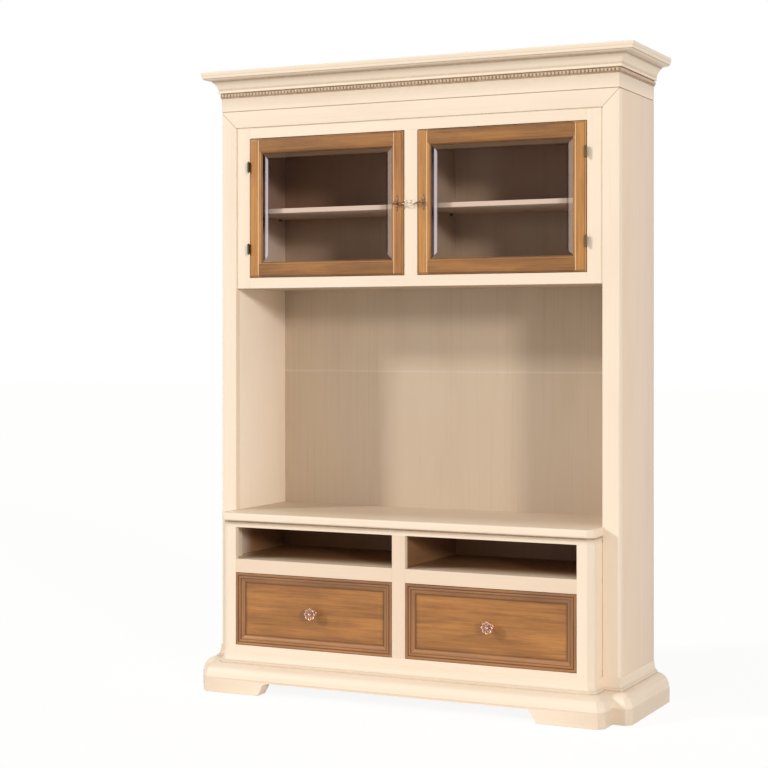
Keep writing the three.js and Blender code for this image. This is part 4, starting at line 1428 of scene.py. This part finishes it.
@dataclass
class Door:
    """A glazed door: four coped members and a bevelled pane."""

    side: Side
    inner_x: float = 27.5
    outer_x: float = 660.0
    base: float = 1522.0
    top: float = 2037.0
    stile: float = 50.0
    top_rail: float = 56.0
    bottom_rail: float = 57.0
    thickness: float = BOARD
    edge_round: float = 8.0
    sticking: float = 11.0
    sticking_depth: float = 8.0
    rabbet: tuple[float, float] = (12.0, 8.0)
    # The arris painted pale as a highlight: its width and its strength.
    rub: float = 2.5
    rubbed_glaze: float = -0.8
    rail_sink: float = 0.8
    glass: tuple[float, float] = (4.0, 2.0)
    bevel: float = 24.0
    gap: float = GAP

    @property
    def body(self) -> str:
        """The body of this side's door."""
        return f"door_{self.side.word}"

    def profile(self) -> Array:
        """A member's section: a rounded outer edge; inside, an arris that carries a painted highlight, a
        small quirk, an ovolo and a fillet down to the rabbet.

        Returns:
            Rows of depth, outer inset and inner inset.
        """
        edge = self.sticking
        inner = path((0, edge + 3.2), (0, edge + 2.2), (0, edge + 0.4), (0.4, edge), (1.2, edge),
                     (1.2, edge - 0.8), quarter((1.2, edge - 0.8), (self.sticking_depth, 2.0),
                                               Early.SECOND, 9),
                     (self.sticking_depth, 1.0), (self.sticking_depth + 1, 0), (self.rabbet[0], 0),
                     self.rabbet, (self.thickness, self.rabbet[1]))
        r = self.edge_round
        left = np.clip(r - inner[:, 0], 0, r)
        outer = r - np.sqrt(r * r - left * left)
        outer[0] += 3
        return np.column_stack([inner[:, 0], outer, inner[:, 1]])

    def member(self, name: str, x0: Array, x1: Array, z0: Array, z1: Array, finish: Walnut,
               sink: float = 0.0, wear_and_highlight: int = 0) -> None:
        """One frame member from the places of its edges at every depth.

        Args:
            name: the member's name.
            x0: its left edge at each depth, seen on the right door.
            x1: its right edge.
            z0: its lower edge.
            z1: its upper edge.
            finish: its walnut.
            sink: how far its face lies behind the door's.
            wear_and_highlight: 1 where its right arris is painted pale as a highlight, -1 for its left one,
                0 for neither.
        """
        depth, _, inner = self.profile().T
        y = np.maximum(depth, sink)
        by = x1 - self.rub if wear_and_highlight > 0 else x0 + self.rub
        corners = [np.stack([x * self.side.value, y, z], 1) for x, z in
                   ((x0, z0), (by, z0), (x1, z0), (x1, z1), (by, z1), (x0, z1))]
        # The arris points that are painted pale as a highlight.
        highlighted = (inner < self.sticking + self.rub) & (inner > self.sticking - 0.5)
        where = np.array([wear_and_highlight < 0, False, wear_and_highlight > 0, wear_and_highlight > 0, False, wear_and_highlight < 0])
        plain = hollow(np.stack([depth, -inner], 1))
        glaze = np.where(highlighted[:, None] & where, self.rubbed_glaze, plain[:, None])
        SHOP.place(f"{self.body}_{name}_fine", loft(np.stack(corners, 1), glaze.ravel()), self.body,
                   "walnut", finish, [f"{self.body}_{name}"])

    def build(self) -> None:
        """Makes the members and the pane."""
        _, outer, inner = self.profile().T
        low, high = self.base + outer, self.top - outer
        stile, rail = Walnut(Grain.UPRIGHT, Cut.STILE), Walnut(Grain.ACROSS, Cut.RAIL)
        # Painted shade: the left door's inner stile takes the panel's deeper walnut.
        shaded_stile = Walnut(Grain.UPRIGHT, Cut.PANEL) if self.side is Side.LEFT else stile
        self.member("inner_stile", self.inner_x + outer, self.inner_x + self.stile - inner, low, high,
                    shaded_stile, wear_and_highlight=1)
        self.member("outer_stile", self.outer_x - self.stile + inner, self.outer_x - outer, low, high,
                    stile, wear_and_highlight=-1)
        near = self.inner_x + self.stile - inner + self.gap
        far = self.outer_x - self.stile + inner - self.gap
        self.member("top_rail", near, far, self.top - self.top_rail + inner, high, rail, self.rail_sink)
        self.member("bottom_rail", near, far, low, self.base + self.bottom_rail - inner, rail,
                    self.rail_sink)
        self.pane()

    def pane(self) -> None:
        """The pane: its front is ground down from full to half thickness along a wide bevel."""
        full, thin = self.glass
        edge = self.rabbet[1] - 1
        x0, x1 = self.inner_x + self.stile - edge, self.outer_x - self.stile + edge
        z0, z1 = self.base + self.bottom_rail - edge, self.top - self.top_rail + edge
        face = self.rabbet[0] + self.gap
        levels = np.array([[face + full, 0], [face + full - thin, 0], [face, edge + self.bevel]])
        base = np.array([[x0, z0], [x1, z0], [x1, z1], [x0, z1]])
        slope = np.array([[1, 1], [-1, 1], [-1, -1], [1, -1]], float)
        shape = moulding(levels, base, slope, False).on(self.side)
        shape = shape.glazed(np.interp(shape.points[:, 1], [face, face + full - thin], [1.0, 0.0]))
        pane = SHOP.place(f"{self.body}_glass_bevelled", shape, self.body, "glass", Pane(),
                          [f"{self.body}_glass"], sharp=2.0)
        for ground in (Ground.LEFT, Ground.RIGHT, Ground.TOP):
            pane.data.materials.append(Pane(ground).made())
        for polygon in pane.data.polygons:
            x, y, z = polygon.normal
            if 0.02 < abs(y) < 0.999 and z > -abs(x):
                polygon.material_index = 3 if z > abs(x) else 1 if x < 0 else 2


@dataclass
class Drawer:
    """A drawer: four mitred mouldings round a panel, and the box."""

    side: Side
    x0: float = 27.0
    x1: float = 660.5
    z0: float = 170.5
    z1: float = 433.5
    front: float = BASE_FRONT
    thickness: float = BOARD
    field: tuple[float, float] = (11.0, 36.0)
    clearance: float = 0.1
    panel_ease: float = 0.4
    moulding_glaze: float = 0.62
    # Where the painted shade at the panel's border fades, and how strong it is there.
    border: tuple[float, ...] = (0.0, 4.0, 9.0, 18.0)
    border_shade: tuple[float, ...] = (0.62, 0.34, 0.14, 0.0)

    def section(self) -> Array:
        """The moulding's section, from its back outer corner round the front.

        Returns:
            Pairs of inset and depth.
        """
        front = path(quarter((0, 3), (3, 0), Early.SECOND, 6), (8.4, 0), (9, 0.8), (9, 3),
                     (11.4, 3), (11.8, 1.2), (12.4, 0.7), (13.6, 0.3), (17, 0.3), (18.6, 0.8),
                     (19.2, 1.8), (19.4, 3.6), (21.6, 3.6),
                     quarter((21.6, 3.6), (34.4, 10.4), Early.FIRST, 10), (34.4, 11), (36, 11))
        return path((0, self.thickness), front, (36, self.thickness))

    def build(self) -> None:
        """Makes the four mouldings, the panel and the box."""
        body = f"drawer_{self.side.word}"
        i, d = self.section().T
        glaze = hollow(np.stack([i, -d], 1)) * self.moulding_glaze
        y = self.front + d
        ends = {
            "top": ((self.x0 + i, self.z1 - i), (self.x1 - i, self.z1 - i), Grain.ACROSS),
            "bottom": ((self.x0 + i, self.z0 + i), (self.x1 - i, self.z0 + i), Grain.ACROSS),
            "inner": ((self.x0 + i, self.z0 + i), (self.x0 + i, self.z1 - i), Grain.UPRIGHT),
            "outer": ((self.x1 - i, self.z0 + i), (self.x1 - i, self.z1 - i), Grain.UPRIGHT)}
        for place, ((xa, za), (xb, zb), grain) in ends.items():
            rings = np.stack([np.stack([xa * self.side.value, y, za], 1),
                              np.stack([xb * self.side.value, y, zb], 1)])
            shape = loft(rings, np.concatenate([glaze, glaze]))
            # The bottom moulding takes the lighter walnut as painted light.
            cut = Cut.LOWER if place == "bottom" else Cut.MOULDING
            SHOP.place(f"{body}_{place}_moulding", shape, body, "walnut", Walnut(grain, cut),
                       [f"{body}_front"])
        SHOP.place(f"{body}_panel", self.panel(), body, "walnut", Walnut(Grain.ACROSS, Cut.PANEL),
                   [f"{body}_front"])
        SHOP.dress(f"{body}_box", PlainWood())

    def panel(self) -> Surface:
        """The panel inside the mouldings: a flat field with painted shade that fades inwards from its
        border.

        The painted shade stands in for the mouldings' shadow; each point's follows its distance to the
        nearest edge.

        Returns:
            The panel on the drawer's own side.
        """
        (depth, inset), ease = self.field, self.panel_ease
        x0, x1 = self.x0 + inset + self.clearance, self.x1 - inset - self.clearance
        z0, z1 = self.z0 + inset + self.clearance, self.z1 - inset - self.clearance
        flat = [(depth, place) for place in self.border[1:]]
        levels = np.array([(self.thickness, 0), (depth + ease, 0), (depth, ease), *flat])
        panel = moulding(levels + [self.front, 0], np.array([[x1, z0], [x1, z1], [x0, z1], [x0, z0]]),
                         np.array([[-1, 1], [-1, -1], [1, -1], [1, 1]]), False)
        x, _, z = panel.points.T
        edge = np.minimum(np.minimum(x - x0, x1 - x), np.minimum(z - z0, z1 - z))
        return panel.glazed(np.interp(edge, self.border, self.border_shade)).on(self.side)


@dataclass
class Knob:
    """An openwork rosette on a turned stem, fixed to a drawer's face."""

    side: Side
    x: float = 343.75
    z: float = 302.0
    face: float = -87.0
    ring: float = 18.4
    reach: float = 30.0
    petals: int = 8
    scallop: float = 1.5
    ring_wire: float = 2.5
    petal_wire: float = 1.25
    petal_middle: float = 12.2
    petal_half: tuple[float, float] = (5.0, 3.1)

    def circle(self, radius: Array, reach: Array, angle: Array) -> Array:
        """Points at a radius, an angle and a reach towards the front."""
        return np.stack([radius * np.cos(angle), -reach, radius * np.sin(angle)], -1)

    def build(self) -> None:
        """Makes the stem with its centre boss, a scalloped ring and looped petals, in one piece.

        The ring's radius, reach and thickness go up and down with the cosine of the petals' angle.
        Each petal is an ellipse, longer along the radius.
        """
        stem = turned(path((13, 0), (13, 1.2), (12.2, 2.0), (9, 3.0), (6.2, 5.2), (4.6, 9), (4.3, 22),
                           (5.2, 26), (6.8, 28), (7.2, 30), (6.8, 32.4), (5.2, 35), (3.0, 36.8),
                           (0.5, 37.6)), 28)
        a = np.linspace(0, 2 * math.pi, 96, endpoint=False)
        wave = np.cos(self.petals * a)
        ring = self.circle(self.ring + self.scallop * wave, self.reach + 0.8 * wave, a)
        parts = [tube(ring, self.ring_wire + 0.5 * wave, 8, True)]
        loop = np.linspace(0, 2 * math.pi, 20, endpoint=False)
        for k in range(self.petals):
            middle = 2 * math.pi * k / self.petals
            radius = self.petal_middle + self.petal_half[0] * np.cos(loop)
            spread = self.petal_half[1] * np.sin(loop) / radius
            petal = self.circle(radius, self.reach + 0.5 + 1.2 * np.cos(loop), middle + spread)
            parts.append(tube(petal, self.petal_wire, 6, True))
        shape = stem.joined(*parts).moved(self.x * self.side.value, self.face, self.z)
        body = f"drawer_{self.side.word}"
        SHOP.place(f"{body}_rosette", shape, body, "antique_silver", SILVER, [f"{body}_knob"],
                   SHARP_METAL)


@dataclass
class Latch:
    """A scrolled lever on a spindle, with its cam behind the stile, and the plate under it."""

    side: Side
    x: float = 52.5
    z: float = 1779.5
    front: float = -18.0
    cam: tuple[float, float, float] = (28.6, 11.0, 38.0)
    plate: tuple[float, float] = (7.0, 30.0)
    middle: float = 10.4
    curl: float = 6.9
    lift: float = 2.8
    scroll_turn: tuple[float, float] = (-70.0, -480.0)
    scroll_end: float = 1.9
    sag: float = 1.6

    def lever(self) -> Surface:
        """An arm that sags on its way to the mullion and rolls up there into a spiral.

        The arm's height is a sine over its run. The spiral's radius shrinks evenly with its angle.

        Returns:
            The arm, for the right door, at the spindle's height.
        """
        turn = np.radians(np.linspace(*self.scroll_turn, 52))
        radius = np.linspace(self.curl, self.scroll_end, len(turn))
        scroll = np.stack([self.middle + radius * np.cos(turn), 1.4 + radius * np.sin(turn)], 1)
        t = np.linspace(0, 1, 26)[:-1]
        start = np.array([self.x + 3.0, 0.5])
        run = start + (scroll[0] - start) * t[:, None]
        run[:, 1] += self.sag * np.sin(2 * math.pi * t)
        spine = np.concatenate([run, scroll])
        spine = np.stack([spine[:, 0], np.full(len(spine), self.front + self.lift), spine[:, 1]], 1)
        width = np.interp(np.arange(len(spine)), [0, 8, 24, 40, len(spine) - 1], [2.4, 3.0, 2.2, 2.4, 1.3])
        shape = tube(spine, width)
        # The scroll over the mullion stays bright as a painted highlight; the glaze darkens the arm towards
        # the boss.
        return shape.glazed(np.interp(shape.points[:, 0], [self.middle + 9, self.middle + 16], [0.0, 0.95]))

    def tail(self) -> Surface:
        """The short curl on the lever's other side.

        Its radius halves while it turns by 250 degrees.

        Returns:
            The curl, for the right door, at the spindle's height.
        """
        turn = np.linspace(0, 1.4 * math.pi, 22)
        curl = 4.6 * (1 - 0.5 * turn / turn[-1])
        spine = np.stack([self.x + 2 + 3 * np.minimum(turn, 1.5) + curl * np.sin(turn) * 0.6,
                          np.full_like(turn, self.front + self.lift), curl * np.cos(turn) - 4.6], 1)
        return tube(spine, np.linspace(2.6, 1.2, 22)).glazed(0.9)

    def build(self) -> None:
        """Makes the lever with its boss, spindle and cam, and places the plate."""
        cam_y, wide, long = self.cam
        boss = turned(path((3.5, -cam_y - 1.5), (3.5, 3.0), (5.2, 4.0), (5.6, 6.0), (4.2, 8.5), (4.6, 11),
                           (6.4, 12.4), (6.9, 14.5), (6.2, 17.4), (4.0, 19.2), (0.5, 19.8)), 24).glazed(0.8)
        arm = self.lever().joined(self.tail()).moved(z=self.z)
        cam = board((self.x - wide / 2, cam_y, self.z - wide / 2), (self.x + wide / 2, cam_y + 3,
                                                                   self.z + long), 0.8)
        shape = boss.moved(self.x, 0, self.z).joined(arm, cam).on(self.side)
        door = f"door_{self.side.word}"
        SHOP.place(f"{door}_lever", shape, f"latch_{self.side.word}", "aged_metal", BRONZE,
                   [f"{door}_latch"], SHARP_METAL)
        SHOP.place(f"{door}_plate", self.back_plate().moved(self.x * self.side.value, 0, self.z), door,
                   "aged_metal", BRONZE, [f"{door}_escutcheon"], SHARP_METAL)

    def back_plate(self) -> Surface:
        """The waisted plate under the lever, about its own middle.

        With v from -1 to 1 over its height, half its width is a constant and three bell curves of
        |v|, about 0, 0.42 and 0.78, all times 1 - v ** 8, which closes the ends. The edge steps
        forward and inwards.

        Returns:
            The plate.
        """
        v = np.linspace(-1, 1, 61)[1:-1]
        w, h = self.plate
        across = w * (0.52 * np.exp(-(v / 0.2) ** 2) + 0.62 * np.exp(-((np.abs(v) - 0.42) / 0.13) ** 2)
                      + 0.34 * np.exp(-((np.abs(v) - 0.78) / 0.1) ** 2) + 0.16) * (1 - v ** 8)
        outline = mirrored(np.stack([np.minimum(across + 0.6, w), v * h], 1))
        shoulder, face = -1.4, -2.5
        levels = np.array([[0.0, 0.0], [shoulder, 0.0], [-2.2, 1.0], [face, 2.2]])
        shape = moulding(levels, outline, outline * np.array([-0.13, -0.02]), False)
        return shape.glazed(np.interp(shape.points[:, 1], [face, shoulder], [0.7, 1.0]))


@dataclass
class Hinge:
    """A barrel hinge with turned ends and its leaf on the face stile's edge."""

    side: Side
    place: str
    z: float
    x: float = 661.4
    y: float = -5.1
    radius: float = 4.5
    length: float = 36.0
    leaf: tuple[float, float] = (660.8, 662.0)
    leaf_back: float = BOARD

    def build(self) -> None:
        """Makes the barrel in five knuckles, and the leaf."""
        r, half = self.radius, self.length / 2
        gaps = np.linspace(-half, half, 6)[1:-1]
        knuckles = [((r, g - 0.5), (r - 0.5, g), (r, g + 0.5)) for g in gaps]
        profile = path((0.5, -half - 3.2), (1.8, -half - 2.9), (2.4, -half - 1.8), (1.6, -half - 0.6),
                       (r, -half), *[point for knuckle in knuckles for point in knuckle], (r, half),
                       (1.6, half + 0.6), (2.4, half + 1.8), (1.8, half + 2.9), (0.5, half + 3.2))
        barrel = turned(profile, 24).turned(0, -90).moved(self.x, self.y, self.z)
        leaf = board((self.leaf[0], self.y, self.z - half),
                     (self.leaf[1], self.leaf_back, self.z + half), 0.3)
        node = f"hinge_{self.side.word}_{self.place}"
        SHOP.place(f"{node}_barrel", barrel.joined(leaf).on(self.side), CARCASS, "aged_metal",
                   HINGE_PALE if self.side is Side.RIGHT else HINGE_BRASS, [node], SHARP_METAL)


@dataclass
class Studio:
    """Camera, light, background and floor."""

    camera_m: tuple[float, float, float] = (2.6859, -5.8885, 1.2868)
    turn: float = 25.79
    lens: float = 83.67
    sensor: float = 36.0
    sight_m: float = 60.0
    shift_px: float = -43.5
    frame_px: float = 768.0
    key: float = 1.47
    fill: float = 1.33
    ambient: float = 0.42
    ambient_colour: tuple[float, float, float, float] = (1.0, 0.96, 0.925, 1.0)
    floor_reach_m: float = 40.0
    floor_colour: tuple[float, float, float, float] = (0.86, 0.85, 0.84, 1.0)
    floor_white: float = 1.06
    floor_share: float = 0.86

    def build(self) -> None:
        """Makes everything that isn't part of the object."""
        data = bpy.data.cameras.new("camera")
        data.lens, data.sensor_width, data.clip_end = self.lens, self.sensor, self.sight_m
        data.shift_y = self.shift_px / self.frame_px
        camera = added("camera", data)
        camera.location = self.camera_m
        camera.rotation_euler = (math.pi / 2, 0, math.radians(self.turn))
        bpy.context.scene.camera = camera
        self.sun("key_lamp", (-50, -25), self.key, 7, (1.0, 0.985, 0.965))
        self.sun("fill_lamp", (50, -12), self.fill, 8, (1.0, 0.965, 0.925))
        self.world()
        self.floor()
        bpy.context.scene.view_settings.view_transform = "Standard"

    def sun(self, name: str, aim: tuple[float, float], strength: float, soft: float,
            colour: Colour) -> None:
        """A soft distant lamp.

        Args:
            name: the lamp's name.
            aim: how far left of the front and how steeply down it shines from, in degrees.
            strength: its strength.
            soft: its angular size in degrees.
            colour: its colour.
        """
        lamp = bpy.data.lights.new(name, "SUN")
        lamp.energy, lamp.angle, lamp.color = strength, math.radians(soft), colour
        lit = added(name, lamp)
        lit.rotation_euler = (math.radians(90 + aim[1]), 0, math.radians(aim[0]))

    def world(self) -> None:
        """White to the camera and in reflections, and an even soft light on the object."""
        world = bpy.data.worlds.new("studio")
        bpy.context.scene.world = world
        nodes = Nodes(world)
        share = nodes.seen_by("Is Camera Ray", "Is Glossy Ray", "Is Transmission Ray")
        soft = nodes.node("ShaderNodeBackground", {}, {"Color": self.ambient_colour,
                                                       "Strength": self.ambient})
        white = nodes.node("ShaderNodeBackground", {}, {"Color": (1, 1, 1, 1), "Strength": 1.0})
        nodes.node("ShaderNodeOutputWorld", {}, {"Surface": nodes.blend(share, soft, white)})

    def floor(self) -> None:
        """A pale floor that stays white to the camera but keeps a faint shadow."""
        mesh = bpy.data.meshes.new("floor")
        far = self.floor_reach_m
        corners = [(-far, -far, 0), (far, -far, 0), (far, far, 0), (-far, far, 0)]
        mesh.from_pydata(corners, [], [(0, 1, 2, 3)])
        floor = added("floor", mesh)
        pale = bpy.data.materials.new("pale_floor")
        nodes = Nodes(pale)
        share = nodes.seen_by("Is Camera Ray", "Is Glossy Ray") * self.floor_share
        soft = nodes.node("ShaderNodeBsdfDiffuse", {}, {"Color": self.floor_colour})
        white = nodes.node("ShaderNodeEmission", {}, {"Color": (1, 1, 1, 1),
                                                      "Strength": self.floor_white})
        nodes.output(nodes.blend(share, soft, white))
        mesh.materials.append(pale)


def plain(corners: Sequence[Sequence[float]]) -> list[list[float]]:
    """Two corners as plain lists."""
    return [[float(value) for value in corner] for corner in corners]


def main() -> None:
    """Builds the unit in order."""
    logging.basicConfig(level=logging.INFO, format="%(message)s")
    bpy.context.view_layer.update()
    Studio().build()
    Walls().build()
    Cornice().build()
    Cabinet().build()
    Base().build()
    Plinth().build()
    for side in Side:
        ShelfPins(side).build()
        Door(side).build()
        Latch(side).build()
        for place, height in HINGE_HEIGHTS.items():
            Hinge(side, place, height).build()
        Drawer(side).build()
        Knob(side).build()


if __name__ == "__main__":
    main()
